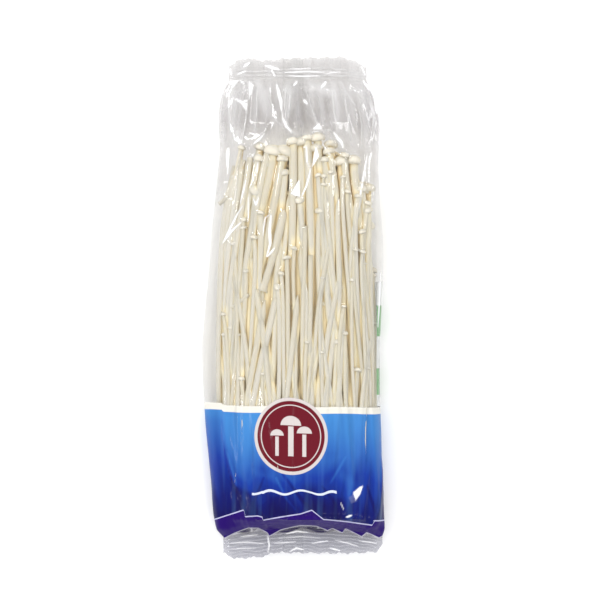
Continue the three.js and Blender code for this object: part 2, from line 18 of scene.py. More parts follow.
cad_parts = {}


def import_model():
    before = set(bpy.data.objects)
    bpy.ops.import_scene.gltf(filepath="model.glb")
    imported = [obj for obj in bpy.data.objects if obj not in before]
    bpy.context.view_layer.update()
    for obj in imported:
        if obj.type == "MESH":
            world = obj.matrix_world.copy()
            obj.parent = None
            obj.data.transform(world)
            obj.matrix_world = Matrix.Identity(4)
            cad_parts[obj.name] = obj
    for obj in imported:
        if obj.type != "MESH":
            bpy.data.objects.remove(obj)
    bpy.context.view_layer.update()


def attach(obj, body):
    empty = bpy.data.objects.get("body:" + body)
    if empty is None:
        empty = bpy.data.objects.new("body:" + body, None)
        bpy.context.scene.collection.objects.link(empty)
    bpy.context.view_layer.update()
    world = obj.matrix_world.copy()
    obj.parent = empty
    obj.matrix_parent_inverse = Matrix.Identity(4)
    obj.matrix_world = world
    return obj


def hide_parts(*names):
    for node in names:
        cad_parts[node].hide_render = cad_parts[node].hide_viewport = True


LOG = logging.getLogger("enoki_bag")
MM = 0.001
SEED = 4117
GOLDEN = 0.618034
Colour = tuple[float, float, float, float]
Array = np.ndarray
Levels = dict[str, Array]
Material = bpy.types.Material
Piece = bpy.types.Object
Socket = bpy.types.NodeSocket


class End(Enum):
    """How the free end of a mushroom is finished."""

    CAP = "cap"
    BARE = "bare"
    HOLLOW = "hollow"
    POINTED = "pointed"


# ---------------------------------------------------------------- form of the bag


@dataclass(frozen=True)
class BagForm:
    """Outline of the filled bag, shared by the film and by what it holds.

    Args:
        outline: rows of y, left, right, underside and crest.
        bunch_left: rows of y and x, the left edge of the bunch beside the bag's empty flap.
        side_level: height of the widest line, as a share of the thickness.
        left_power: superellipse power of the pinched left side.
        right_power: superellipse power of the full right side.
        under_power: superellipse power of the underside.
        under_flat: over 1, so that the middle of the underside is a true plane.
        root_bow: how far the root-end seal bows inwards at its middle.
        lap_rise: how far the film's inner edge lifts off the back under the seam.
        lap_run: over what width it lifts.
        floor_gap: how far the back stands off the floor.
    """

    outline: tuple[tuple[float, ...], ...] = (
        (-109, -33.5, 43.0, 5.6, 8.6),
        (-105, -35.2, 43.3, 3.2, 15.5),
        (-100, -36.6, 43.4, 0.9, 21.0),
        (-92, -38.2, 43.3, 0, 24.5),
        (-75, -39.9, 42.9, 0, 27.0),
        (-58, -41.6, 42.5, 0, 28.0),
        (-38, -42.9, 41.7, 0, 28.6),
        (-15, -43.4, 41.8, 0, 29.0),
        (2, -42.0, 42.4, 0, 29.0),
        (18, -40.4, 43.1, 0, 28.6),
        (34, -39.2, 43.1, 0, 28.0),
        (50, -37.6, 41.9, 0, 26.5),
        (66, -36.1, 41.2, 0, 24.2),
        (79, -35.3, 41.2, 0, 21.0),
        (89, -36.0, 41.2, 0, 16.2),
        (98, -35.7, 40.0, 0, 11.2),
        (105, -34.0, 37.8, 0.3, 7.2),
        (110.6, -31.0, 35.4, 0.8, 3.9),
    )
    bunch_left: tuple[tuple[float, ...], ...] = (
        (-100, -33.5),
        (-60, -36.5),
        (0, -36.5),
        (35, -35.5),
        (55, -33.5),
        (72, -29),
        (90, -20),
    )
    side_level: float = 0.38
    left_power: float = 1.75
    right_power: float = 2.5
    under_power: float = 4.0
    under_flat: float = 1.08
    root_bow: float = 4.2
    lap_rise: float = 0.45
    lap_run: float = 1.6
    floor_gap: float = 0.06

    def column(self, table: tuple[tuple[float, ...], ...], index: int, y: Array) -> Array:
        """Smooth values of one column of a table.

        Args:
            table: rows whose first value rises.
            index: the column that is read.
            y: where it is read.

        Returns:
            One value for each y.
        """
        rows = np.array(table)
        ys, values = rows[:, 0], rows[:, index]
        slopes = np.gradient(values, ys)
        at = np.clip(np.asarray(y, float), ys[0], ys[-1])
        i = np.clip(np.searchsorted(ys, at, side="right") - 1, 0, len(rows) - 2)
        run = ys[i + 1] - ys[i]
        t = (at - ys[i]) / run
        smooth = t * t * (3 - 2 * t)
        leaving, arriving = t * (1 - t) ** 2 * run * slopes[i], t * t * (t - 1) * run * slopes[i + 1]
        return values[i] + (values[i + 1] - values[i]) * smooth + leaving + arriving

    def section(self, y: Array, inset: Array | float = 0.0) -> Levels:
        """Cross-section at y, moved inwards.

        Args:
            y: heights along the bag.
            inset: distance that the outline is moved inwards.

        Returns:
            Middle, half width, side level, underside and crest.
        """
        left, right, under, crest = (self.column(self.outline, i, y) for i in (1, 2, 3, 4))
        return {
            "middle": (left + right) / 2,
            "half": (right - left) / 2 - inset,
            "side": under + self.side_level * (crest - under),
            "under": under + inset,
            "crest": crest - inset,
        }

    def root_share(self, y: Array) -> Array:
        """How much of the root end's inward bow acts at y."""
        return np.clip((-np.asarray(y, float) - 84) / 25, 0, 1) ** 2

    def root_rise(self, x: Array) -> Array:
        """Inward bow of the root end's seal at x."""
        return self.root_bow * (1 - ((np.asarray(x, float) - 5) / 38) ** 2)

    def power(self, x: Array, middle: Array) -> Array:
        """Superellipse power on the side of the bag that x is on."""
        return np.where(np.asarray(x) < middle, self.left_power, self.right_power)

    def over(self, section: Levels, x: Array) -> Array:
        """Level of the front of a section.

        Args:
            section: the section, as section() gives it.
            x: places across the bag.

        Returns:
            The level at each place.
        """
        p = self.power(x, section["middle"])
        across = np.clip(np.abs(x - section["middle"]) / section["half"], 0, 1)
        return section["side"] + (section["crest"] - section["side"]) * (1 - across**p) ** (1 / p)

    def reach(self, section: Levels, x: Array, z: Array) -> Array:
        """How far points lie from the middle of a section.

        Args:
            section: the section, as section() gives it.
            x: places across the bag.
            z: levels.

        Returns:
            The share of the way out, where 1 is on the outline.
        """
        across = np.abs(x - section["middle"]) / section["half"]
        p = self.power(x, section["middle"])
        up = np.clip((z - section["side"]) / (section["crest"] - section["side"]), 0, None)
        down = np.clip((section["side"] - z) / (section["side"] - section["under"]), 0, None)
        q = self.under_power
        below, above = (across**q + down**q) ** (1 / q), (across**p + up**p) ** (1 / p)
        return np.where(z < section["side"], below, above)

    def ring(self, y: float, columns_front: int, columns_back: int, seam: float) -> tuple[Array, Array]:
        """Points of the film's cross-section, evenly spaced along it, and their place on the flat film.

        It starts at the seam's inner edge, runs left under the bag, over the front, and back to the
        outer edge.

        Args:
            y: height along the bag.
            columns_front: points over the front, from side to side.
            columns_back: points from a side to the seam.
            seam: half the overlap of the film's edges.

        Returns:
            Points of x and z, and the distance across the film from the middle of the front.
        """
        s = self.section(y)
        left_half = np.linspace(math.pi, math.pi / 2, 240)
        right_half = np.linspace(math.pi / 2, 0, 240)[1:]
        points = []
        for angles, p in ((left_half, self.left_power), (right_half, self.right_power)):
            c, q = np.cos(angles), np.sin(angles)
            x = s["middle"] + s["half"] * np.sign(c) * np.abs(c) ** (2 / p)
            z = s["side"] + (s["crest"] - s["side"]) * np.clip(q, 0, 1) ** (2 / p)
            points.append(np.stack([x, z], 1))
        front = evenly(np.concatenate(points), columns_front)
        under = []
        drop = s["side"] - s["under"]
        for side in (-1, 1):
            a = np.linspace(0, math.pi / 2, 200)
            x = s["middle"] + side * s["half"] * np.cos(a) ** (2 / self.under_power)
            z = s["side"] - drop * np.minimum(1, self.under_flat * np.sin(a) ** (2 / self.under_power))
            curve = np.stack([x, z], 1)
            curve = curve[curve[:, 0] * side > -0.1]
            end = -seam * side
            curve = np.concatenate([curve, [[end, s["under"]]]])
            under.append(evenly(curve, columns_back + 1)[1:])
        inner, outer = under
        lift = np.clip((inner[:, 0] + seam + self.lap_run) / self.lap_run, 0, 1) * self.lap_rise
        inner = inner + np.stack([np.zeros(len(lift)), lift + self.floor_gap], 1)
        outer = outer + np.array([0, self.floor_gap])
        ring = np.concatenate([inner[::-1], front, outer])
        steps = np.linalg.norm(np.diff(ring, axis=0), axis=1)
        across = np.concatenate([[0], np.cumsum(steps)])
        middle = len(inner) + int(np.argmin(np.abs(front[:, 0] - s["middle"])))
        return ring, across - across[middle] + ring[middle, 0]


def evenly(points: Array, count: int) -> Array:
    """Resamples a polyline at even steps.

    Args:
        points: its points, a row each.
        count: number of points wanted.

    Returns:
        The new points, ends included.
    """
    steps = np.linalg.norm(np.diff(points, axis=0), axis=1)
    along = np.concatenate([[0], np.cumsum(steps)])
    at = np.linspace(0, along[-1], count)
    return np.stack([np.interp(at, along, points[:, i]) for i in range(points.shape[1])], 1)


def smoothed(grid: Array, rounds: int) -> Array:
    """Smooths a grid along both axes.

    Args:
        grid: its values.
        rounds: how often.

    Returns:
        The smooth values.
    """
    for axis in (0, 1) * rounds:
        grid = 0.5 * grid + 0.25 * (np.roll(grid, 1, axis) + np.roll(grid, -1, axis))
    return grid


# ---------------------------------------------------------------- mesh and node helpers


@dataclass
class MeshDraft:
    """Vertices, faces and point attributes of a mesh under construction, in millimetres."""

    points: list[Array] = field(default_factory=list)
    faces: list[tuple[int, ...]] = field(default_factory=list)
    marks: dict[str, list[Array]] = field(default_factory=dict)
    count: int = 0

    def add_grid(self, grid: Array, marks: Levels, closed: bool = True) -> int:
        """Adds a grid of points as quads.

        Args:
            grid: points, rows by columns by 3.
            marks: one value for each point of the grid, by attribute.
            closed: whether the last column joins the first.

        Returns:
            Index of the grid's first vertex.
        """
        rows, columns, _ = grid.shape
        start = self.count
        self.points.append(grid.reshape(-1, 3))
        for name, values in marks.items():
            self.marks.setdefault(name, []).append(np.broadcast_to(values, (rows, columns)).reshape(-1))
        self.count += rows * columns
        last = columns if closed else columns - 1
        j = np.arange(last)
        k = (j + 1) % columns
        for i in range(rows - 1):
            a, b = start + i * columns, start + (i + 1) * columns
            self.faces.extend(zip(a + j, a + k, b + k, b + j))
        return start

    def add_tube(self, grid: Array, marks: Levels) -> None:
        """Adds a grid that is closed round its columns and by one face at each end.

        Args:
            grid: points, rows by columns by 3.
            marks: one value for each point of the grid, by attribute.
        """
        first = self.add_grid(grid, marks)
        rows, columns, _ = grid.shape
        last = first + (rows - 1) * columns
        self.faces.append(tuple(reversed(range(first, first + columns))))
        self.faces.append(tuple(range(last, last + columns)))

    def build(self, name: str, material: Material) -> Piece:
        """Makes the Blender object.

        Args:
            name: its name.
            material: its material.

        Returns:
            The object, smooth shaded and linked to the scene.
        """
        mesh = bpy.data.meshes.new(name)
        places = (np.concatenate(self.points) * MM).tolist()
        mesh.from_pydata(places, [], [tuple(map(int, face)) for face in self.faces])
        for key, parts in self.marks.items():
            layer = mesh.attributes.new(key, "FLOAT", "POINT")
            layer.data.foreach_set("value", np.concatenate(parts).astype(np.float32))
        mesh.shade_smooth()
        mesh.materials.append(material)
        mesh.update()
        made = bpy.data.objects.new(name, mesh)
        bpy.context.scene.collection.objects.link(made)
        return made


class NodeBench:
    """Short calls that lay out a material's nodes."""

    def __init__(self, name: str) -> None:
        """Starts an empty material.

        Args:
            name: its name.
        """
        self.material = bpy.data.materials.new(name)
        self.material.use_nodes = True
        self.tree = self.material.node_tree
        self.tree.nodes.clear()
        self.output = self.tree.nodes.new("ShaderNodeOutputMaterial")

    def node(self, kind: str, **settings: object) -> bpy.types.Node:
        """Adds a node.

        Args:
            kind: its type.
            settings: values of its properties.

        Returns:
            The node.
        """
        made = self.tree.nodes.new(kind)
        for key, value in settings.items():
            setattr(made, key, value)
        return made

    def feed(self, socket: Socket, value: object) -> None:
        """Links a socket to another, or sets its value.

        Args:
            socket: the input that is fed.
            value: an output, or a plain value.
        """
        if isinstance(value, Socket):
            self.tree.links.new(value, socket)
        else:
            socket.default_value = value

    def wired(self, kind: str, values: dict[int | str, object], **settings: object) -> Socket:
        """Adds a node and feeds it.

        Args:
            kind: its type.
            values: what its inputs are fed, by place or name.
            settings: values of its properties.

        Returns:
            Its first output.
        """
        made = self.node(kind, **settings)
        for key, value in values.items():
            self.feed(made.inputs[key], value)
        return made.outputs[0]

    def math(self, operation: str, *values: object, clamp: bool = False) -> Socket:
        """Result of a math node."""
        return self.wired("ShaderNodeMath", dict(enumerate(values)), operation=operation, use_clamp=clamp)

    def times(self, one: object, other: object) -> Socket:
        """Product of two values."""
        return self.math("MULTIPLY", one, other)

    def plus(self, one: object, other: object, clamp: bool = False) -> Socket:
        """Sum of two values."""
        return self.math("ADD", one, other, clamp=clamp)

    def minus(self, one: object, other: object) -> Socket:
        """Difference of two values."""
        return self.math("SUBTRACT", one, other)

    def off(self, one: object, other: object) -> Socket:
        """Distance between two values."""
        return self.math("ABSOLUTE", self.minus(one, other))

    def mark(self, name: str) -> Socket:
        """Reads a point attribute."""
        return self.node("ShaderNodeAttribute", attribute_name=name).outputs["Fac"]

    def place(self) -> Socket:
        """Place on the object."""
        return self.node("ShaderNodeTexCoord").outputs["Object"]

    def vector(self, x: object, y: object, z: object = 0.0) -> Socket:
        """Joins three values to a vector."""
        return self.wired("ShaderNodeCombineXYZ", {0: x, 1: y, 2: z})

    def noise(self, where: object, scale: float, detail: float = 2.0, rough: float = 0.5) -> Socket:
        """Noise from 0 to 1 at a place."""
        values = {"Vector": where, "Scale": scale, "Detail": detail, "Roughness": rough}
        return self.wired("ShaderNodeTexNoise", values)

    def blend(self, share: object, low: object, high: object) -> Socket:
        """Mixes two colours.

        Args:
            share: share of the second.
            low: the first colour.
            high: the second colour.

        Returns:
            The mixed colour.
        """
        made = self.node("ShaderNodeMix", data_type="RGBA")
        for index, value in ((0, share), (6, low), (7, high)):
            self.feed(made.inputs[index], value)
        return made.outputs[2]

    def ramp(self, value: object, stops: tuple[tuple[float, Colour], ...]) -> Socket:
        """Runs a value through a colour ramp.

        Args:
            value: the value.
            stops: places and colours, from low to high.

        Returns:
            The colour.
        """
        made = self.node("ShaderNodeValToRGB")
        self.feed(made.inputs[0], value)
        elements = made.color_ramp.elements
        while len(elements) < len(stops):
            elements.new(0.5)
        for element, (place, colour) in zip(elements, stops):
            element.position, element.color = place, colour
        return made.outputs[0]

    def band(self, value: object, low: float, high: float) -> Socket:
        """Runs a value through a straight step, which falls where low is over high.

        Args:
            value: the value.
            low: where the step is still 0.
            high: where it has reached 1.

        Returns:
            The step's level.
        """
        falls = float(low > high)
        ends = {"From Min": min(low, high), "From Max": max(low, high)}
        ends |= {"To Min": falls, "To Max": 1.0 - falls}
        return self.wired("ShaderNodeMapRange", {"Value": value} | ends, clamp=True)

    def bump(self, height: object, strength: float, distance: float) -> Socket:
        """Normal bent by a height map."""
        values = {"Strength": strength, "Distance": distance, "Height": height}
        return self.wired("ShaderNodeBump", values)

    def mix_shaders(self, share: object, low: object, high: object) -> Socket:
        """Mixes two shaders."""
        return self.wired("ShaderNodeMixShader", {0: share, 1: low, 2: high})

    def finish(self, surface: Socket) -> Material:
        """Connects the surface and returns the material."""
        self.tree.links.new(surface, self.output.inputs["Surface"])
        return self.material


def linear(red: int, green: int, blue: int) -> Colour:
    """Linear colour of a screen colour from 0 to 255."""
    parts = [value / 255 for value in (red, green, blue)]
    return (*(p / 12.92 if p <= 0.04045 else ((p + 0.055) / 1.055) ** 2.4 for p in parts), 1.0)


# ---------------------------------------------------------------- finishes


@dataclass(frozen=True)
class MushroomFinish:
    """Pale moist mushroom flesh, browner towards the root, with fine fibres along the stem.

    Its colour also holds painted light and shade: darker tips, a warm glow in the gaps between stems,
    shade under the caps and in the hollows of broken ends.
    """

    name: str = "mushroom_flesh"
    pale: Colour = linear(205, 201, 191)
    warm: Colour = linear(202, 194, 172)
    cap: Colour = linear(216, 210, 196)
    root: Colour = linear(192, 166, 116)
    gap_glow: Colour = linear(240, 229, 194)
    deep_gap_glow: Colour = linear(231, 212, 168)
    under_cap_shade: Colour = linear(212, 182, 122)
    inside: Colour = linear(176, 132, 70)
    roughness: float = 0.28
    translucency: float = 0.3
    reach: float = 0.0018

    def make(self) -> Material:
        """Builds the material.

        Returns:
            The material.
        """
        b = NodeBench(self.name)
        along, tint, hollow, around = (b.mark(m) for m in ("along", "tint", "hollow", "around"))
        deep, cap = b.mark("deep"), b.mark("cap")
        mottled = b.noise(b.place(), 190.0, 3.0)
        fibre_place = b.vector(b.times(around, 9.0), b.times(along, 7.0), b.times(tint, 31.0))
        fibres = b.noise(fibre_place, 3.0, 3.0, 0.6)
        streaks = b.times(b.minus(fibres, 0.45), 1.8)
        # Painted shade: the upper stems and caps are drawn towards the warmer, darker colour.
        tip_shade = b.times(b.band(along, 0.6, 0.95), 0.25)
        flesh = b.blend(b.plus(b.plus(b.times(tint, 0.5), streaks), tip_shade, clamp=True), self.pale, self.warm)
        # Painted shade: hidden flesh just under the caps is darkened towards golden brown.
        under_caps = b.times(b.band(along, 0.76, 0.94), b.band(deep, 0.5, 0.9))
        for share, colour in (
            (b.times(cap, 0.8), self.cap),
            (b.times(b.band(mottled, 0.55, 0.75), 0.22), self.warm),
            (b.times(b.band(along, 0.16, 0.0), 0.75), self.root),
            # Painted light: gap_glow and deep_gap_glow tint the gaps between stems warm and bright, for light
            # glowing there.
            (b.times(b.band(deep, 0.0, 0.6), b.minus(0.85, tip_shade)), self.gap_glow),
            (b.times(b.band(deep, 0.4, 1.0), 0.8), self.deep_gap_glow),
            (b.times(under_caps, 0.55), self.under_cap_shade),
            # Painted shade: the inside colour darkens the hollow of a broken end towards its bottom.
            (hollow, self.inside),
        ):
            flesh = b.blend(share, flesh, colour)
        values = {
            "Base Color": flesh,
            "Normal": b.bump(fibres, 0.35, 0.00012),
            "Roughness": b.plus(b.times(mottled, 0.16), self.roughness),
            "Subsurface Weight": self.translucency,
            "Subsurface Radius": (1.0, 0.9, 0.75),
            "Subsurface Scale": self.reach,
        }
        return b.finish(b.wired("ShaderNodeBsdfPrincipled", values))


@dataclass(frozen=True)
class RootFinish:
    """Dense fused root, tan and fibrous."""

    name: str = "fused_root"
    dark: Colour = linear(150, 112, 66)
    tan: Colour = linear(208, 178, 128)
    light: Colour = linear(236, 218, 180)

    def make(self) -> Material:
        """Builds the material.

        Returns:
            The material.
        """
        b = NodeBench(self.name)
        place = b.place()
        coarse, fine = b.noise(place, 160.0, 4.0), b.noise(place, 900.0, 3.0)
        values = {
            "Base Color": b.ramp(coarse, ((0.3, self.dark), (0.55, self.tan), (0.8, self.light))),
            "Normal": b.bump(b.plus(coarse, b.times(fine, 0.35)), 0.7, 0.0006),
            "Roughness": b.plus(b.times(fine, 0.3), 0.5),
        }
        return b.finish(b.wired("ShaderNodeBsdfPrincipled", values))


@dataclass(frozen=True)
class BadgePrint:
    """Round badge with three little mushrooms, printed on the film.

    Args:
        middle: its place on the film.
        size: its half width and half height.
        rim: width of its pale rim.
        ring: how far inside its edge the thin ring runs.
        ring_half: half the width of the ring.
        blur: how far an edge fades.
        motif: x and y of each cap, its radius and the level of the stem's foot.
    """

    middle: tuple[float, float] = (-1.0, -60.0)
    size: tuple[float, float] = (17.6, 18.4)
    rim: float = 1.5
    ring: float = 3.4
    ring_half: float = 0.24
    blur: float = 0.12
    motif: tuple[tuple[float, float, float, float], ...] = (
        (0.0, 5.2, 4.9, -9.5),
        (-6.6, 0.2, 3.2, -9.5),
        (6.4, 1.6, 3.6, -9.5),
    )

    def oval(self, b: NodeBench, x: object, y: object, half: tuple[float, float]) -> Socket:
        """Lays out an oval round 0.

        Args:
            b: the bench of the material.
            x: place across it.
            y: place along it.
            half: its half width and half height.

        Returns:
            The signed distance from its edge, about.
        """
        across, up = b.math("DIVIDE", x, half[0]), b.math("DIVIDE", y, half[1])
        far = b.math("SQRT", b.plus(b.times(across, across), b.times(up, up)))
        return b.times(b.minus(far, 1.0), min(half))

    def make(self, b: NodeBench, s: object, v: object) -> tuple[Socket, ...]:
        """Lays out the badge.

        Args:
            b: the bench of the film's material.
            s: place across the film.
            v: place along the film.

        Returns:
            The share covered by the badge, by its maroon ground and by its white drawing.
        """
        x, y = b.minus(s, self.middle[0]), b.minus(v, self.middle[1])
        edge = self.oval(b, x, y, self.size)
        cover = b.band(edge, self.blur, -self.blur)
        ground = b.band(b.plus(edge, self.rim), self.blur, -self.blur)
        ring = b.math("ABSOLUTE", b.plus(edge, self.ring))
        drawing = b.band(ring, self.ring_half + 0.08, self.ring_half - 0.08)
        for cx, cy, r, foot in self.motif:
            dx, dy = b.minus(x, cx), b.minus(y, cy)
            dome = b.math("MAXIMUM", self.oval(b, dx, dy, (r, r * 0.92)), b.times(dy, -1.0))
            shaft = b.minus(b.math("ABSOLUTE", dx), r * 0.26)
            stem = b.math("MAXIMUM", b.math("MAXIMUM", shaft, b.minus(foot - cy, dy)), b.plus(dy, 0.5))
            drawing = b.math("MAXIMUM", drawing, b.band(b.math("MINIMUM", dome, stem), 0.1, -0.1))
        return cover, ground, drawing


@dataclass(frozen=True)
class FilmFinish:
    """Clear packing film, printed blue to violet over the root end, with painted highlights and painted
    shade.

    Args:
        name: name of the material.
        band_top: upper edge of the pale band.
        blue_top: lower edge of the pale band.
        thin_line: level of the thin line, with the violet strip below it.
        wave: level of the white wave line.
        blues: the fade, from the thin line up.
        badge: the badge.
    """

    name: str = "printed_film"
    band_top: float = -45.8
    blue_top: float = -49.0
    thin_line: float = -100.6
    wave: float = -87.5
    blues: tuple[tuple[float, Colour], ...] = (
        (0.0, linear(16, 12, 76)),
        (0.2, linear(13, 20, 98)),
        (0.42, linear(20, 52, 146)),
        (0.62, linear(46, 98, 174)),
        (0.82, linear(59, 121, 188)),
        (1.0, linear(65, 131, 196)),
    )
    badge: BadgePrint = BadgePrint()

    def streaks(self, b: NodeBench, across: object, along: object) -> Socket:
        """Noise drawn out along the film."""
        return b.noise(b.vector(b.times(across, 0.2), b.times(along, 0.012)), 1.0, 2.0, 0.5)

    def ink(self, b: NodeBench, s: object, v: object) -> Socket:
        """Lays out the print without its badge.

        Args:
            b: the bench of the material.
            s: place across the film.
            v: place along the film.

        Returns:
            The colour.
        """
        streak = self.streaks(b, s, v)
        # The painted shade of folds and facets moves the print's fade up or down.
        ink = b.ramp(b.band(b.plus(v, b.mark("painted_print_shade")), -104.0, -46.0), self.blues)
        swing = b.times(b.math("SINE", b.times(s, 0.42)), 1.2)
        wave = b.band(b.off(b.minus(v, swing), self.wave), 0.75, 0.55)
        for share, colour in (
            (b.times(b.band(streak, 0.5, 0.8), 0.2), linear(96, 150, 214)),
            (b.times(b.band(streak, 0.5, 0.25), 0.2), linear(20, 40, 120)),
            (b.band(v, self.thin_line + 0.1, self.thin_line - 0.1), linear(36, 8, 100)),
            (b.band(b.off(v, self.thin_line), 0.36, 0.22), linear(182, 182, 214)),
            (b.times(wave, b.band(b.off(s, 0.5), 20.5, 20.1)), linear(206, 212, 226)),
        ):
            ink = b.blend(share, ink, colour)
        return ink

    def between(self, b: NodeBench, value: object, low: float, high: float) -> Socket:
        """1 between two places and 0 outside them."""
        return b.times(b.band(value, low, low + 0.3), b.band(value, high, high - 0.3))

    def panel(self, b: NodeBench, s: object, v: object) -> tuple[Socket, Socket]:
        """Lays out a plain pale panel with two green blocks, on the back and just visible at the right side.

        Args:
            b: the bench of the material.
            s: place across the film.
            v: place along the film.

        Returns:
            Its share and its colour.
        """
        cover = b.times(self.between(b, s, 42.6, 76.0), self.between(b, v, -45.0, 14.2))
        blocks = b.math("MAXIMUM", self.between(b, v, -12.0, 3.0), self.between(b, v, -40.0, -27.0))
        return cover, b.blend(blocks, linear(226, 228, 226), linear(96, 164, 92))

    def clear(self, b: NodeBench) -> Socket:
        """Lays out the film where it bears no print.

        Args:
            b: the bench of the material.

        Returns:
            The shader.
        """
        fan, v, crease, veil, glint = (b.mark(m) for m in ("fan", "film_v", "crease", "veil", "glint"))
        root_seal = b.band(b.mark("hem"), 0.0, -1.0)
        shade = b.blend(root_seal, (0.71, 0.695, 0.69, 1.0), (0.735, 0.735, 0.765, 1.0))
        # veil: the film's grey, with painted shade from the slopes of its wrinkles and along dark folds.
        tone = b.blend(veil, (0.972, 0.972, 0.968, 1.0), shade)
        sheet = b.wired("ShaderNodeBsdfTransparent", {"Color": tone})
        gloss = b.wired("ShaderNodeBsdfGlossy", {"Color": (0.98, 0.985, 1.0, 1.0), "Roughness": 0.06})
        facing = b.node("ShaderNodeLayerWeight")
        facing.inputs["Blend"].default_value = 0.5
        mirror = b.plus(b.times(b.math("POWER", facing.outputs["Facing"], 4.5), 0.7), 0.045)
        clear = b.mix_shaders(mirror, sheet, gloss)
        milk = b.wired("ShaderNodeBsdfDiffuse", {"Color": (0.9, 0.9, 0.92, 1.0)})
        haze = b.times(b.times(b.band(self.streaks(b, fan, v), 0.42, 0.72), veil), 0.25)
        haze = b.times(haze, b.minus(1.0, root_seal))
        # Milk along creases and in the haze and sheen bands: partly the film's own whitening, partly painted
        # highlight.
        haze = b.plus(b.plus(b.times(crease, 0.4), 0.02), haze, clamp=True)
        # Painted highlight: where glint is set, the film becomes a bright white matte surface.
        flash = b.wired("ShaderNodeBsdfDiffuse", {"Color": (0.97, 0.97, 0.98, 1.0)})
        return b.mix_shaders(b.times(b.band(glint, 0.1, 0.95), 0.94), b.mix_shaders(haze, clear, milk), flash)

    def make(self) -> Material:
        """Builds the material.

        Returns:
            The material.
        """
        b = NodeBench(self.name)
        s, v, hem, glint = (b.mark(m) for m in ("film_s", "film_v", "hem", "glint"))
        white_band = b.band(v, self.blue_top - 0.12, self.blue_top + 0.12)
        cover, ground, drawing = self.badge.make(b, s, v)
        cover = b.times(cover, b.band(b.math("ABSOLUTE", s), 40.0, 39.5))
        pale = b.math("MAXIMUM", drawing, b.minus(1.0, ground))
        panel, panel_ink = self.panel(b, s, v)
        ink = self.ink(b, s, v)
        for share, colour in (
            (white_band, linear(228, 225, 216)),
            (cover, b.blend(pale, linear(100, 22, 35), linear(200, 192, 190))),
            (b.times(b.band(hem, 0.75, 0.45), 0.7), linear(206, 204, 214)),
            (panel, panel_ink),
            # Painted highlights on the print.
            (b.band(glint, 0.1, 0.95), (0.93, 0.94, 0.97, 1.0)),
        ):
            ink = b.blend(share, ink, colour)
        inked = b.times(b.band(v, self.band_top + 0.2, self.band_top - 0.2), b.band(hem, 0.0, 0.3))
        inked = b.times(inked, b.minus(0.985, b.times(white_band, 0.1)))
        inked = b.math("MAXIMUM", inked, b.times(cover, 0.985))
        inked = b.math("MAXIMUM", inked, b.times(panel, 0.6))
        values = {
            "Base Color": ink,
            "Roughness": 0.32,
            "Specular IOR Level": 0.1,
            "Coat Weight": 0.12,
            "Coat Roughness": 0.08,
        }
        printed = b.wired("ShaderNodeBsdfPrincipled", values)
        return b.finish(b.mix_shaders(inked, self.clear(b), printed))


# ---------------------------------------------------------------- the bunch


@dataclass
class Mushroom:
    """One mushroom of the bunch.

    Args:
        tip_x: where its free end is across the bag.
        tip_y: how high it reaches.
        cap: diameter of its cap.
        stem: diameter of its stem under the cap.
        root_x: where it is rooted across the bag.
        end: how its free end is finished.
        front: whether it lies in the front layer.
        share: place between the back, 0, and the front, 1.
        bow: sideways bow of its stem.
        tilt: how far its cap turns up towards the front, in degrees.
        rises: whether its stem comes to the front further down.
        lean: sideways slope of its stem near the top, or None for a straight one.
    """

    tip_x: float
    tip_y: float
    cap: float
    stem: float
    root_x: float
    end: End = End.CAP
    front: bool = False
    share: float = 0.97
    bow: float = 0.0
    tilt: float = 0.0
    rises: bool = False
    lean: float | None = None

    def along(self, y: Array, root_y: float) -> Array:
        """Share of the stem's length reached at y."""
        return np.clip((y - root_y) / (self.tip_y - root_y), 0, 1)


# The sideways slope of the stems' tops, by place across the bag.
CROWN_LEANS = (
    (-34, 0.2), (-22, 0.3), (-9, 0.32), (-3, 0.3), (1, 0.04), (5, -0.1), (10, -0.06), (20, -0.12),
    (29, -0.18), (32, 0.0), (36, 0.26),
)
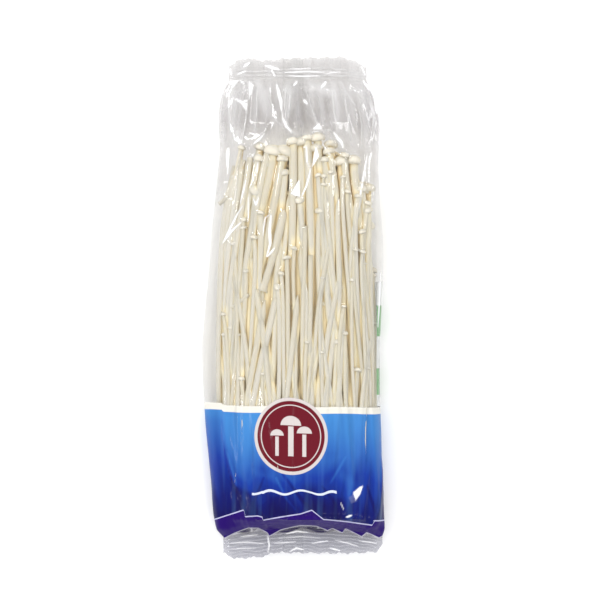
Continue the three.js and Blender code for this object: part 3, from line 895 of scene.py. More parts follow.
# The front mushrooms: x and y of the tip, diameters of the cap and of the stem, and x of the root.
FRONT_ROWS: tuple[tuple[float, ...], ...] = (
    (-26, 78, 3.8, 2.8, -30), (-33, 69, 0, 2, -34.5), (-27.5, 63.5, 4, 3.2, -32.5),
    (-20, 72.5, 0, 3, -27), (-17, 75, 0, 3.6, -24), (-15.5, 73, 5, 3.8, -22),
    (-10.8, 76.6, 7.8, 5.2, -19.5), (-10, 69.8, 7.2, 4.8, -17), (-6.4, 66, 5.2, 4.4, -14.5),
    (-2.8, 76.2, 8, 5.6, -12), (0.2, 80.8, 5.6, 4, -3), (5.3, 80.5, 8.8, 4.8, 4),
    (13, 83, 6.6, 4.4, 13.5), (15, 79.6, 7, 4, 17), (10.9, 77.6, 7.4, 4.8, 10.5),
    (20.2, 76.2, 5.6, 3.8, 24), (16.8, 72, 4.6, 3.6, 21.5), (21.8, 71.4, 7.4, 4.4, 27),
    (28, 72, 7.2, 4.2, 32.5), (19, 66, 3.6, 2.8, 22.5), (13.6, 64.4, 3.2, 2.4, 15),
    (16.4, 64, 3.2, 2.2, 19), (16.8, 60, 3.8, 2.6, 20), (25.2, 63.6, 2.8, 2.2, 28.5),
    (27, 57, 3.8, 2.6, 30), (36, 58.5, 4.2, 2.8, 34.5), (37.6, 51.5, 4.4, 3.2, 37),
    (35.6, 48, 4.8, 3.6, 36), (34.2, 37.6, 3.4, 2.4, 34), (-6.4, 60, 4.2, 4.2, -15),
    (-19, 57.5, 5.4, 3.2, -26), (-18.6, 46.6, 4.2, 3.4, -24), (-19.6, 35, 3.6, 2.4, -23),
    (-27.6, 48, 0, 3.4, -31), (-26, 43.4, 3.2, 2.4, -29), (-24.8, 39.6, 3.8, 3, -28),
    (3.4, 53, 4.4, 3, 2), (6.2, 40, 0, 2.4, 6), (14.8, 47.6, 4, 2.8, 16),
    (30.6, 29, 3, 2.2, 31), (33.8, 28.2, 3, 2.2, 33.5), (36, 22.4, 2.6, 1.9, 36.5),
    (-3.2, 25.2, 3.2, 2.4, -4), (-6, 17.6, 2.8, 2, -7), (-7.4, 11.4, 3.4, 2.4, -9),
    (-23.2, 19, 2.8, 2.6, -25), (8.2, 26, 0, 2.4, 8), (10.6, 30.4, 0, 3.2, 30),
    (16, 15.6, 2.6, 1.9, 18), (30.4, 14.6, 2.8, 2, 31), (25.8, 2, 2.6, 2, 26),
    (6.6, 15, 0, 1.9, 6.5), (-14, 31.6, 2.8, 2.6, -20), (-31.6, 32, 2.8, 2.2, -33),
    (-34, -1.8, 2.4, 1.9, -34), (-34, -11.4, 2.4, 2, -34), (-26.4, -11.4, 2.8, 2.4, -27),
    (-13.4, -17, 2.6, 3, -28), (8, -15, 2.4, 2, 9), (15.6, -19.6, 2.4, 2, 16.5),
    (-16.4, -30, 2.4, 1.9, -18), (-24.8, -32.4, 2.6, 2, -25), (36.8, -27.4, 2.4, 2, 36),
    (-22.5, 30, 0, 3.8, -4), (14.4, 41, 0, 3.4, 25.5), (-5, 41, 0, 3.4, -17), (-5.6, 72.6, 5, 4, -11),
    (31.6, 61, 0, 3.4, 33), (33.4, 54.6, 3.4, 3, 35), (-22.6, 67, 0, 3.4, -27), (-26.4, 71.5, 0, 2.8, -31),
    (-12.6, 78.6, 6, 4, -20), (24.6, 74.4, 5, 3.8, 29), (8.4, 82.4, 6.4, 4.4, 8),
    (-5.4, 10, 0, 3.6, -26), (2, 31, 0, 3, 16), (20, 35, 0, 2.8, 8), (-21, 13, 0, 3.2, -3),
    (27, 20, 0, 2.8, 13),
    (-31, 20, 0, 2.6, -19), (4, 7, 0, 2.8, -9), (12, 1, 0, 2.6, 26), (-1, 58, 0, 3, -9),
    (22, 54, 0, 2.8, 14),
    (-12.4, 5, 0, 3.2, -27), (38, -10, 0, 2.6, 30), (24, -8, 0, 2.8, 15),
)
HOLLOW_TIPS = ((-27.6, 48), (6.2, 40), (8.2, 26))
POINTED_TIPS = (
    (10.6, 30.4), (-22.5, 30), (14.4, 41), (-5, 41), (6.6, 15), (-5.4, 10), (2, 31), (20, 35), (-21, 13),
    (27, 20), (-31, 20), (4, 7), (12, 1), (-1, 58), (22, 54), (-12.4, 5), (38, -10), (24, -8),
)
ENDS = dict.fromkeys(HOLLOW_TIPS, End.HOLLOW) | dict.fromkeys(POINTED_TIPS, End.POINTED)
TILTED_TIPS = {(-19, 57.5): 55.0, (-7.4, 11.4): 50.0, (-13.4, -17): 40.0, (36, 58.5): 30.0, (3.4, 53): 30.0}


@dataclass(frozen=True)
class LoosePiece:
    """A mushroom that broke off and lies under the film.

    Args:
        node: its node in the part.
        ends: x and y of its two ends.
        diameters: diameters at them.
        foot: diameter of its torn foot, or 0.
        sunk: how far it lies under the bag's outline.
    """

    node: str
    ends: tuple[tuple[float, float], tuple[float, float]]
    diameters: tuple[float, float]
    foot: float = 0.0
    sunk: float = 1.4

    @property
    def radius(self) -> float:
        """Radius of the room that it takes."""
        return max(*self.diameters, self.foot) / 2

    def place(self, form: BagForm, t: Array) -> Array:
        """Points of its middle line.

        Args:
            form: outline of the bag.
            t: shares of its length.

        Returns:
            A point for each share.
        """
        a, b = (np.array(end) for end in self.ends)
        flat = a + (b - a) * np.asarray(t)[:, None]
        section = form.section(flat[:, 1], self.sunk + self.radius)
        return np.column_stack([flat, form.over(section, flat[:, 0])])


LOOSE = (
    LoosePiece("loose_mushroom", ((-4.2, 48), (-14.6, 9)), (4.4, 3.2), 5.2),
    LoosePiece("loose_stem_short", ((-30.8, 54.6), (-35.6, 50.8)), (2.2, 2.0)),
    LoosePiece("loose_stem_cross", ((-21.2, 7.4), (-29, 1.2)), (2.2, 1.9)),
)


@dataclass
class StemPacking:
    """Packs the stems side by side in the bag, on planes across it.

    Args:
        form: outline of the bag.
        root_y: level of the root.
        pitch: distance between two planes.
        planes: number of planes.
        rounds: how often the stems are pushed apart.
        clear: room between the stems and the film.
        crown_top: highest level of the random mushrooms.
        crown_count: number of random mushrooms that reach the crown.
        body_count: number of random mushrooms that end below it.
        front_hold: how firmly the front mushrooms keep their place.
        inner_hold: how firmly the others keep theirs.
        slim: radius of a stem at the root, as a share of that at its tip.
        swell: what that share gains up to the tip.
        ease: how much each round straightens the stems.
        settle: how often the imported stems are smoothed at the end.
        floor: room between the stems and the back.
        mushrooms: what is packed.
        x: places across the bag, a row for each mushroom.
        z: levels, a row for each mushroom.
    """

    form: BagForm
    root_y: float = -97.0
    pitch: float = 6.0
    planes: int = 31
    rounds: int = 70
    clear: float = 0.5
    crown_top: float = 80.0
    crown_count: int = 115
    body_count: int = 110
    front_hold: float = 0.2
    inner_hold: float = 0.01
    slim: float = 0.72
    swell: float = 0.28
    ease: float = 0.45
    settle: int = 14
    floor: float = 0.9
    mushrooms: list[Mushroom] = field(default_factory=list)
    x: Array = field(default_factory=lambda: np.zeros(0))
    z: Array = field(default_factory=lambda: np.zeros(0))

    def sow(self) -> None:
        """Lists every mushroom of the bunch."""
        draws = np.random.default_rng(SEED)
        uniform = draws.uniform
        for row in FRONT_ROWS:
            key = row[:2]
            end = End.CAP if row[2] else ENDS.get(key, End.BARE)
            tilt = TILTED_TIPS.get(key, uniform(-4, 16))
            self.mushrooms.append(Mushroom(*row, end, True, bow=uniform(-3.5, 3.5), tilt=tilt))
        for i in range(self.crown_count + self.body_count):
            across = ((i * GOLDEN) % 1) * 2 - 1
            crowning = i < self.crown_count
            stem = uniform(2.6, 4.0) if crowning else uniform(1.9, 3.5)
            tip_x = 2.5 + (31 if crowning else 35.5) * across
            drop = 1.5 + 25 * uniform(0, 1) ** 1.5 if crowning else uniform(8, 95)
            tip_y = self.crown_top - 0.021 * (tip_x - 4) ** 2 - drop
            share = uniform(0.05, 0.82) if crowning else uniform(0.02, 0.93)
            root_x = float(np.clip(2.5 + (tip_x - 2.5) * 1.08 + draws.normal(0, 11.0), -35, 39))
            cap = stem * (uniform(1.45, 1.9) if crowning else uniform(1.12, 1.4))
            made = Mushroom(tip_x, tip_y, cap, stem, root_x, share=share, bow=uniform(-3.0, 3.0))
            made.tilt, made.rises = uniform(-25, 35), i % 2 == 0
            self.mushrooms.append(made)
        places, slopes = np.array(CROWN_LEANS).T
        for index, made in enumerate(self.mushrooms):
            if made.tip_y > 50:
                made.lean = float(np.interp(made.tip_x, places, slopes)) + 0.05 * math.sin(2.4 * index)
            elif made.end is End.POINTED:
                made.lean = 2.4 * (made.tip_x - made.root_x) / (made.tip_y - self.root_y)

    def heights(self) -> Array:
        """Heights of the packing planes."""
        return self.root_y + self.pitch * np.arange(self.planes)

    def stem_radius(self, m: Mushroom, y: Array) -> Array:
        """Stem radius at y: slim at the root, full under the cap."""
        return m.stem / 2 * (self.slim + self.swell * m.along(y, self.root_y))

    def wanted(self, m: Mushroom, ys: Array) -> tuple[Array, Array]:
        """Where a stem would run if it were alone.

        Args:
            m: the mushroom.
            ys: heights.

        Returns:
            Its places across the bag and its levels.
        """
        along = m.along(ys, self.root_y)
        x = m.root_x + (m.tip_x - m.root_x) * along + m.bow * np.sin(math.pi * along)
        if m.lean is not None:
            turned = m.lean * (m.tip_y - self.root_y) - (m.tip_x - m.root_x)
            x += turned * (along**5 - along) / 4
        section = self.form.section(self.pulled(ys), self.clear + m.stem / 2)
        turn = np.clip((m.tip_y - 45 - ys) / 80, 0, 1)
        share = np.clip(m.share + turn * (-0.3 if m.front else 0.4 if m.rises else 0.0), 0, 0.96)
        return x, section["under"] + (self.form.over(section, x) - section["under"]) * share

    def pack(self) -> None:
        """Pushes the stems apart until they lie side by side."""
        ys = self.heights()
        tips = np.array([m.tip_y for m in self.mushrooms])[:, None]
        caps = np.array([m.cap for m in self.mushrooms])[:, None]
        want_x, want_z = np.array([self.wanted(m, ys) for m in self.mushrooms]).transpose(1, 0, 2)
        room = np.array([self.stem_radius(m, ys) for m in self.mushrooms])
        near = np.abs(ys - tips) < self.pitch * 0.7
        room = np.where(near, np.maximum(caps / 2, room), room)
        present = ys[None, :] <= tips + self.pitch * 0.7
        hold = np.array([self.front_hold if m.front else self.inner_hold for m in self.mushrooms])[:, None]
        x, z = want_x.copy(), want_z.copy()
        for turn in range(self.rounds):
            ease = max(0.25, 1 - turn / self.rounds)
            for k in range(self.planes):
                here = np.flatnonzero(present[:, k])
                px, pz = self.pushes(x[here, k], z[here, k], room[here, k], ys[k])
                x[here, k] += np.clip(px, -1, 1)
                z[here, k] += np.clip(pz, -1, 1)
            for value, want in ((x, want_x), (z, want_z)):
                off = value - want
                padded = np.pad(off, ((0, 0), (1, 1)), mode="edge")
                off += self.ease * (0.5 * (padded[:, :-2] + padded[:, 2:]) - off)
                value[:] = want + (1 - hold * ease) * off
            self.confine(x, z, room, ys)
        for value in (x, z):
            for _ in range(self.settle):
                padded = np.pad(value, ((0, 0), (1, 1)), mode="reflect", reflect_type="odd")
                value[:] = 0.5 * value + 0.25 * (padded[:, :-2] + padded[:, 2:])
        self.confine(x, z, room, ys)
        self.x, self.z = x, z

    def pulled(self, y: Array) -> Array:
        """Height on the bag's outline of what is held at y, where the root end is drawn inwards."""
        return y - self.form.root_bow * self.form.root_share(y)

    def pushes(self, x: Array, z: Array, room: Array, y: float) -> tuple[Array, Array]:
        """Moves that part the stems on one plane from each other and from the loose pieces.

        Args:
            x: places across the bag.
            z: levels.
            room: radii needed.
            y: height of the plane.

        Returns:
            Moves along x and z.
        """
        dx, dz = x[:, None] - x[None, :], z[:, None] - z[None, :]
        gap = np.sqrt(dx * dx + dz * dz) + 1e-6
        need = room[:, None] + room[None, :]
        part = np.where(gap < need, 0.42 * (need - gap) / gap, 0.0)
        np.fill_diagonal(part, 0.0)
        px, pz = (part * dx).sum(1), (part * dz).sum(1)
        for piece in LOOSE:
            (ax, ay), (bx, by) = piece.ends
            t = (y - ay) / (by - ay)
            if not -0.1 < t < 1.1:
                continue
            spot = piece.place(self.form, np.array([np.clip(t, 0, 1)]))[0]
            slant = min(1.7, math.hypot(bx - ax, by - ay) / abs(by - ay))
            far = np.hypot(x - spot[0], z - spot[2]) + 1e-6
            short = np.clip(room + piece.radius * slant + 0.2 - far, 0, None)
            px += (x - spot[0]) / far * short * 0.3
            pz -= short * 0.9
        return px, pz

    def confine(self, x: Array, z: Array, room: Array, ys: Array) -> None:
        """Keeps every stem inside the film and right of the bunch's left edge.

        Args:
            x: places across the bag, which are changed.
            z: levels, which are changed.
            room: radii needed.
            ys: heights of the planes.
        """
        y = np.broadcast_to(self.pulled(ys), x.shape)
        section = self.form.section(y, self.clear + room)
        section["under"] = section["under"] + self.floor
        left = self.form.column(self.form.bunch_left, 1, np.broadcast_to(ys, x.shape)) + room
        np.maximum(x, left, out=x)
        far = np.maximum(self.form.reach(section, x, z), 1.0)
        x[:] = section["middle"] + (x - section["middle"]) / far
        z[:] = section["side"] + (z - section["side"]) / far

    def path(self, i: int, y: Array) -> Array:
        """Smooth points of one stem.

        Args:
            i: its place in the list of mushrooms.
            y: heights.

        Returns:
            A point for each height.
        """
        at = np.clip((y - self.root_y) / self.pitch, 0, self.planes - 1.001)
        k = at.astype(int)
        t = at - k
        out = []
        for values in (self.x[i], self.z[i]):
            padded = np.concatenate([[2 * values[0] - values[1]], values, [2 * values[-1] - values[-2]]])
            a, b, c, d = (padded[k + step] for step in range(4))
            twice = 2 * b + (c - a) * t + (2 * a - 5 * b + 4 * c - d) * t**2
            out.append(0.5 * (twice + (3 * b - a - 3 * c + d) * t**3))
        return np.column_stack([out[0], y, out[1]])


@dataclass
class FrontMap:
    """Height map of the front of the mushrooms.

    Args:
        form: outline of the bag.
        packing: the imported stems.
        step: spacing of its columns.
        root_top: level up to which the fused root carries the film.
        root_inset: how far the root lies inside the bag.
        xs: places of its columns.
        ys: heights of its rows.
        bare: level of the stems and caps.
        bridged: level at which tight film bridges them.
    """

    form: BagForm
    packing: StemPacking
    step: float = 0.5
    root_top: float = -80.0
    root_inset: float = 2.6
    xs: Array = field(default_factory=lambda: np.zeros(0))
    ys: Array = field(default_factory=lambda: np.zeros(0))
    bare: Array = field(default_factory=lambda: np.zeros(0))
    bridged: Array = field(default_factory=lambda: np.zeros(0))

    def lay(self, points: Array, radii: Array) -> None:
        """Raises the map to a round stem.

        Args:
            points: the stem's middle line.
            radii: its radius at each point.
        """
        for (px, py, pz), r in zip(points, radii):
            row = int(round(py - self.ys[0]))
            if 0 <= row < len(self.ys):
                low, high = np.searchsorted(self.xs, (px - r, px + r))
                level = pz + np.sqrt(np.clip(r * r - (self.xs[low:high] - px) ** 2, 0, None))
                self.bare[row, low:high] = np.maximum(self.bare[row, low:high], level)

    def build(self) -> None:
        """Makes the bare map and the one bridged as tight film bridges it."""
        self.xs = np.arange(-44, 44.01, self.step)
        self.ys = np.arange(-110, 112, 1.0)
        self.bare = np.zeros((len(self.ys), len(self.xs)))
        for i, m in enumerate(self.packing.mushrooms):
            heights = np.arange(self.packing.root_y - 3, m.tip_y, 1.0)
            self.lay(self.packing.path(i, heights), self.packing.stem_radius(m, heights))
            if m.end is End.CAP:
                reach = np.arange(-m.cap * 0.3, m.cap * 0.42, 1.0)
                tip = self.packing.path(i, np.array([m.tip_y]))[0]
                shares = np.clip(1 - (reach / (m.cap * 0.46)) ** 2, 0, 1)
                self.lay(tip + np.column_stack([reach * 0, reach, reach * 0]), m.cap / 2 * np.sqrt(shares))
        for piece in LOOSE:
            t = np.linspace(0, 1, 60)
            self.lay(piece.place(self.form, t), np.full(60, piece.radius * 0.85))
        at_root = self.ys < self.root_top
        x, y = np.meshgrid(self.xs, self.ys[at_root])
        lifted = self.bare.copy()
        root = self.form.over(self.form.section(y, self.root_inset), x)
        lifted[at_root] = np.maximum(lifted[at_root], root)
        bridged = smoothed(self.closed(self.closed(lifted, 1, 22), 0, 10), 3)
        self.bridged = np.maximum(bridged, self.bare)

    def closed(self, grid: Array, axis: int, half: int) -> Array:
        """Fills the hollows of a map that are narrower than a window.

        Args:
            grid: the map.
            axis: the axis along which the window lies.
            half: half the window's width, in steps.

        Returns:
            The filled map.
        """
        for pick in (np.maximum, np.minimum):
            start = grid
            for step in range(1, half + 1):
                grid = pick(grid, pick(np.roll(start, step, axis), np.roll(start, -step, axis)))
        return grid

    def read(self, grid: Array, x: Array, y: Array) -> Array:
        """Reads one of the maps between its points.

        Args:
            grid: the map.
            x: places across the bag.
            y: heights.

        Returns:
            The level at each place.
        """
        u = np.clip((x - self.xs[0]) / self.step, 0, len(self.xs) - 1.001)
        w = np.clip(y - self.ys[0], 0, len(self.ys) - 1.001)
        i, j = w.astype(int), u.astype(int)
        a, b = w - i, u - j
        low = (1 - b) * grid[i, j] + b * grid[i, j + 1]
        high = (1 - b) * grid[i + 1, j] + b * grid[i + 1, j + 1]
        return (1 - a) * low + a * high


# Radius and height of the rings of a cap, as shares of its radius, from the rim to the top.
CAP_RINGS = ((0.93, -0.33), (1.0, -0.12), (0.98, 0.12), (0.86, 0.4), (0.64, 0.62), (0.34, 0.76), (0.08, 0.8))
SMALL_CAP_RINGS = ((0.93, -0.33), (1.0, 0.0), (0.84, 0.42), (0.5, 0.7), (0.1, 0.8))


@dataclass
class MushroomMaker:
    """Turns paths into stems and caps.

    Args:
        draft: the mesh that they are added to.
        draws: source of their random shapes.
        fine: number of sides from which a cap has all its rings.
    """

    draft: MeshDraft
    draws: np.random.Generator
    fine: int = 15

    def frames(self, points: Array) -> tuple[Array, Array, Array]:
        """Directions at each point of a path.

        Args:
            points: the path.

        Returns:
            Directions along it, sideways and up.
        """
        along = np.gradient(points, axis=0)
        along /= np.linalg.norm(along, axis=1)[:, None]
        sideways = np.cross(along, [0, 0, 1.0])
        sideways /= np.linalg.norm(sideways, axis=1)[:, None]
        return along, sideways, np.cross(sideways, along)

    def stem(
        self, points: Array, radii: Array, sides: int, tint: float, end: End, root: float = 0.0
    ) -> Array:
        """Adds a stem.

        Args:
            points: its middle line from root to tip.
            radii: its radius at each point.
            sides: its number of sides.
            tint: its own shade, from 0 to 1.
            end: how its free end is finished.
            root: how brown it starts, from 0 to 1.

        Returns:
            Direction of the stem at its tip.
        """
        along, sideways, up = self.frames(points)
        angles = np.arange(sides) / sides * 2 * math.pi + self.draws.uniform(0, 1)
        phases = self.draws.uniform(0, 6.28, 3)
        run = np.linspace(0, 1, len(points))
        share = np.clip(1 - root + root * run, 0, 1)
        wobble = 1 + 0.05 * np.cos(2 * angles[None, :] + phases[0] + 2.2 * run[:, None])
        swelling = 0.035 * np.sin(run[:, None] * 23 + phases[2])
        wobble += 0.03 * np.cos(3 * angles[None, :] + phases[1]) + swelling
        rows = radii[:, None] * wobble
        hollow = np.zeros(len(points))
        if end is End.POINTED:
            rows *= np.clip((1 - run) / 0.05, 0.12, 1)[:, None] ** 0.7
        across, raised = np.cos(angles)[None, :, None], np.sin(angles)[None, :, None]
        spread = across * sideways[:, None, :] + raised * up[:, None, :]
        grid = points[:, None, :] + rows[..., None] * spread
        if end is End.HOLLOW:
            lip = points[-1] + (grid[-1] - points[-1]) * 0.62
            deep = lip - along[-1] * radii[-1] * 1.4
            grid = np.concatenate([grid, lip[None], deep[None]])
            # The painted shade deepens into the hollow and is full at its bottom.
            hollow = np.append(hollow, [0.35, 1.0])
            share = np.append(share, [1.0, 1.0])
        elif end is End.BARE:
            dome = points[-1] + along[-1] * radii[-1] * 0.25 + (grid[-1] - points[-1]) * 0.6
            grid = np.concatenate([grid, dome[None]])
            # A bare end's dome takes a little of the same colour.
            hollow = np.append(hollow, 0.1)
            share = np.append(share, 1.0)
        marks = {"along": share[:, None], "tint": np.array([[tint]]), "hollow": hollow[:, None]}
        marks |= {"around": (np.cos(angles) * 0.5 + 0.5)[None, :], "cap": np.array([[0.0]])}
        self.draft.add_tube(grid, marks)
        return along[-1]

    def cap(
        self, tip: Array, along: Array, radius: float, stem: float, sides: int, tint: float, tilt: float
    ) -> None:
        """Adds a button cap with a rolled rim.

        Args:
            tip: middle of its rim.
            along: direction of the stem.
            radius: its radius.
            stem: radius of the stem.
            sides: its number of sides.
            tint: its own shade, from 0 to 1.
            tilt: how far it turns up, in degrees.
        """
        axis = along * math.cos(math.radians(tilt)) + np.array([0, 0, 1.0]) * math.sin(math.radians(tilt))
        axis += np.append(self.draws.uniform(-0.3, 0.3, 2), 0)
        axis /= np.linalg.norm(axis)
        side = np.cross(axis, [0.3, 0.1, 1.0])
        side /= np.linalg.norm(side)
        other = np.cross(side, axis)
        neck = min(0.8, stem / radius * 0.9)
        if sides >= self.fine:
            profile = ((neck, -0.5), (0.6 * neck + 0.4, -0.42), *CAP_RINGS)
        else:
            profile = ((neck, -0.45), *SMALL_CAP_RINGS)
        height = self.draws.uniform(0.66, 0.98)
        squash = self.draws.uniform(0.88, 1.08)
        angles = np.arange(sides) / sides * 2 * math.pi
        phase = self.draws.uniform(0, 6.28)
        rim = np.cos(angles)[:, None] * side * squash + np.sin(angles)[:, None] * other
        rings = []
        for r, h in profile:
            lobed = r * (1 + 0.07 * np.cos(2 * angles + phase) + 0.04 * np.cos(3 * angles))
            rings.append(tip + radius * (lobed[:, None] * rim + h * height * axis))
        marks = {"along": np.array([[1.0]]), "tint": np.array([[tint * 0.5]]), "hollow": np.array([[0.0]])}
        marks |= {"around": (angles / math.tau)[None, :], "cap": np.array([[1.0]])}
        self.draft.add_tube(np.array(rings), marks)


@dataclass
class Bunch:
    """The grown bunch: front mushrooms, the ones behind them, and the fused root."""

    form: BagForm
    packing: StemPacking
    front_map: FrontMap
    finish: MushroomFinish = MushroomFinish()
    root_finish: RootFinish = RootFinish()
    front_step: float = 6.0
    inner_step: float = 10.0
    # Share of the painted gap glow and shade that the caps take.
    cap_shelter: float = 0.6
    gap_steps: tuple[float, ...] = (0.6, 1.2, 2.0, 3.2)

    def mushrooms(self, name: str, front: bool, material: Material) -> Piece:
        """Builds the mushrooms of one layer.

        Args:
            name: name of the piece.
            front: whether it is the front layer.
            material: their material.

        Returns:
            The piece.
        """
        draws = np.random.default_rng(SEED + front)
        draft = MeshDraft()
        maker = MushroomMaker(draft, draws)
        shelter = []
        p = self.packing
        for i, m in enumerate(p.mushrooms):
            if m.front is not front:
                continue
            step = self.front_step if front else self.inner_step
            heights = np.linspace(p.root_y, m.tip_y, max(6, int((m.tip_y - p.root_y) / step)))
            points = p.path(i, heights)
            curl = np.clip((heights - m.tip_y + 14) / 14, 0, 1) ** 2
            points[:, 0] += curl * draws.uniform(-0.9, 0.9)
            radii = p.stem_radius(m, heights)
            radii[-1] *= 0.94
            tint = draws.uniform(0, 1)
            start = draft.count
            along = maker.stem(points, radii, 14 if front else 9, tint, m.end, 1.0)
            shelter.append(np.ones(draft.count - start))
            start = draft.count
            if m.end is End.CAP:
                rim = points[-1] - along * m.cap * 0.11
                maker.cap(rim, along, m.cap * 0.57, radii[-1], 20 if front else 12, tint, m.tilt)
                shelter.append(np.full(draft.count - start, self.cap_shelter))
        # deep: how much painted gap glow and shade each point takes, from how hidden it is.
        draft.marks["deep"] = [self.depth(np.concatenate(draft.points)) * np.concatenate(shelter)]
        return draft.build(name, material)

    def depth(self, points: Array) -> Array:
        """How hidden points are between the stems, which sets their painted gap glow and shade.

        Args:
            points: the points.

        Returns:
            From 0, in the open, to 1, deep in a gap.
        """
        x, y, z = points.T
        hidden = np.zeros(len(x))
        for side in (-1, 1):
            steepest = np.zeros(len(x))
            for step in self.gap_steps:
                over = self.front_map.read(self.front_map.bare, x + side * step, y) - z
                steepest = np.maximum(steepest, over / np.hypot(over, step))
            hidden += steepest / 2
        gap = np.clip((hidden - 0.38) / 0.5, 0, 1)
        section = self.form.section(self.packing.pulled(y))
        inward = np.clip(((1 - self.form.reach(section, x, z)) * 28 - 3.5) / 5, 0, 1)
        upper = np.clip((z - section["side"] + 2) / 4, 0, 1)
        return gap * (upper + (1 - upper) * inward)

    def root(self, material: Material) -> Piece:
        """Builds the lumpy fused root.

        Args:
            material: its material.

        Returns:
            The piece.
        """
        ys = np.linspace(-101, -78, 24)
        sides = 96
        rows = []
        for y in ys:
            t = (y + 101) / 23
            inset = 3.4 + 3.0 * max(0.0, 1 - t * 6) ** 2 + 5.2 * max(0.0, (t - 0.35) / 0.65) ** 1.5
            section = self.form.section(np.array(self.packing.pulled(np.array(y))), inset)
            angle = np.arange(sides) / sides * 2 * math.pi
            c, q = np.cos(angle), np.sin(angle)
            bare_left = float(self.form.column(self.form.bunch_left, 1, y)) + inset
            left = max(float(section["middle"] - section["half"]), bare_left)
            right = float(section["middle"] + section["half"])
            x = (left + right) / 2 + (right - left) / 2 * np.sign(c) * np.abs(c) ** 0.7
            up, down = section["crest"] - section["side"], section["side"] - section["under"] - 0.8
            tall = np.where(q > 0, up, down)
            z = section["side"] + tall * np.sign(q) * np.abs(q) ** 0.7
            lump = np.array([noise.noise(Vector((a * 0.33, y * 0.12, b * 0.33))) for a, b in zip(x, z)])
            x, z = x * (1 + 0.006 * lump), z + 0.7 * lump
            rows.append(np.column_stack([x, np.full(sides, y) + 1.2 * lump * (t < 0.2), z]))
        draft = MeshDraft()
        draft.add_tube(np.array(rows), {})
        return draft.build("root", material)

    def build(self) -> list[Piece]:
        """Builds the pieces of the bunch.

        Returns:
            The pieces.
        """
        flesh = self.finish.make()
        made = [
            self.mushrooms("front_mushrooms", True, flesh),
            self.mushrooms("inner_mushrooms", False, flesh),
            self.root(self.root_finish.make()),
        ]
        for piece in made:
            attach(piece, "root")
            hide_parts("bunch")
        return made


@dataclass
class LooseMushrooms:
    """The broken-off mushrooms that lie on the bunch."""

    form: BagForm
    finish: Material

    def build(self) -> list[Piece]:
        """Builds a piece for each.

        Returns:
            The pieces.
        """
        made = []
        for number, piece in enumerate(LOOSE):
            draws = np.random.default_rng(SEED + 40 + number)
            draft = MeshDraft()
            t = np.linspace(1, 0, 30)
            points = piece.place(self.form, t)
            bend = np.sin(t * math.pi) * (0.7 if piece.foot else 0.25)
            points[:, 0] += bend
            radii = piece.diameters[0] / 2 + (piece.diameters[1] - piece.diameters[0]) / 2 * t
            radii = radii * (1 - 0.45 * np.clip((0.12 - t) / 0.12, 0, 1) ** 2)
            if piece.foot:
                radii += (piece.foot / 2 - radii) * np.clip((t - 0.86) / 0.14, 0, 1) ** 2
            end = End.POINTED if piece.foot else End.BARE
            MushroomMaker(draft, draws).stem(points, radii, 16, 0.35, end)
            shown = draft.build(piece.node + "_skin", self.finish)
            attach(shown, "root")
            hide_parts(piece.node)
            made.append(shown)
        return made


# ---------------------------------------------------------------- the bag


@dataclass(frozen=True)
class Crumple:
    """Flat facets that meet in sharp folds, as crumpled film has them.

    Args:
        width: usual width of a facet.
        length: usual length of a facet.
        seed: start of its random draws.
    """

    width: float
    length: float
    seed: int

    def heights(self, s: Array, y: Array) -> Array:
        """Levels of the facets, from -0.5 to 0.5.

        Args:
            s: places across the flat film.
            y: heights.

        Returns:
            The level at each place.
        """
        draws = np.random.default_rng(self.seed)
        across, along = np.meshgrid(np.arange(-124, 125, self.width), np.arange(-140, 141, self.length))
        u = across / self.width + draws.uniform(-0.46, 0.46, across.shape)
        w = along / self.length + draws.uniform(-0.46, 0.46, across.shape)
        spots = [Vector(pair) for pair in zip(u.ravel(), w.ravel())]
        corners, _, faces, *_ = delaunay_2d_cdt(spots, [], [], 0, 1e-5)
        levels = draws.uniform(-0.5, 0.5, len(corners))
        tree = BVHTree.FromPolygons([(c.x, c.y, h) for c, h in zip(corners, levels)], faces)
        down = Vector((0, 0, -1))
        out = np.zeros(s.shape)
        for index in np.ndindex(s.shape):
            hit = tree.ray_cast(Vector((s[index] / self.width, y[index] / self.length, 3)), down)[0]
            out[index] = hit.z if hit else 0.0
        return out


@dataclass(frozen=True)
class Pleat:
    """A lapped fold along a line.

    Args:
        line: its points from the top down.
        height: how far its edge stands out.
        width: how fast it falls off.
        side: 1 where the film left of the line lies on top, or -1 for the right.
        shade: painted shade on the side that lies on top, as how far down the print's fade is read there, in
            millimetres.
    """

    line: tuple[tuple[float, float], ...]
    height: float
    width: float
    side: int
    shade: float


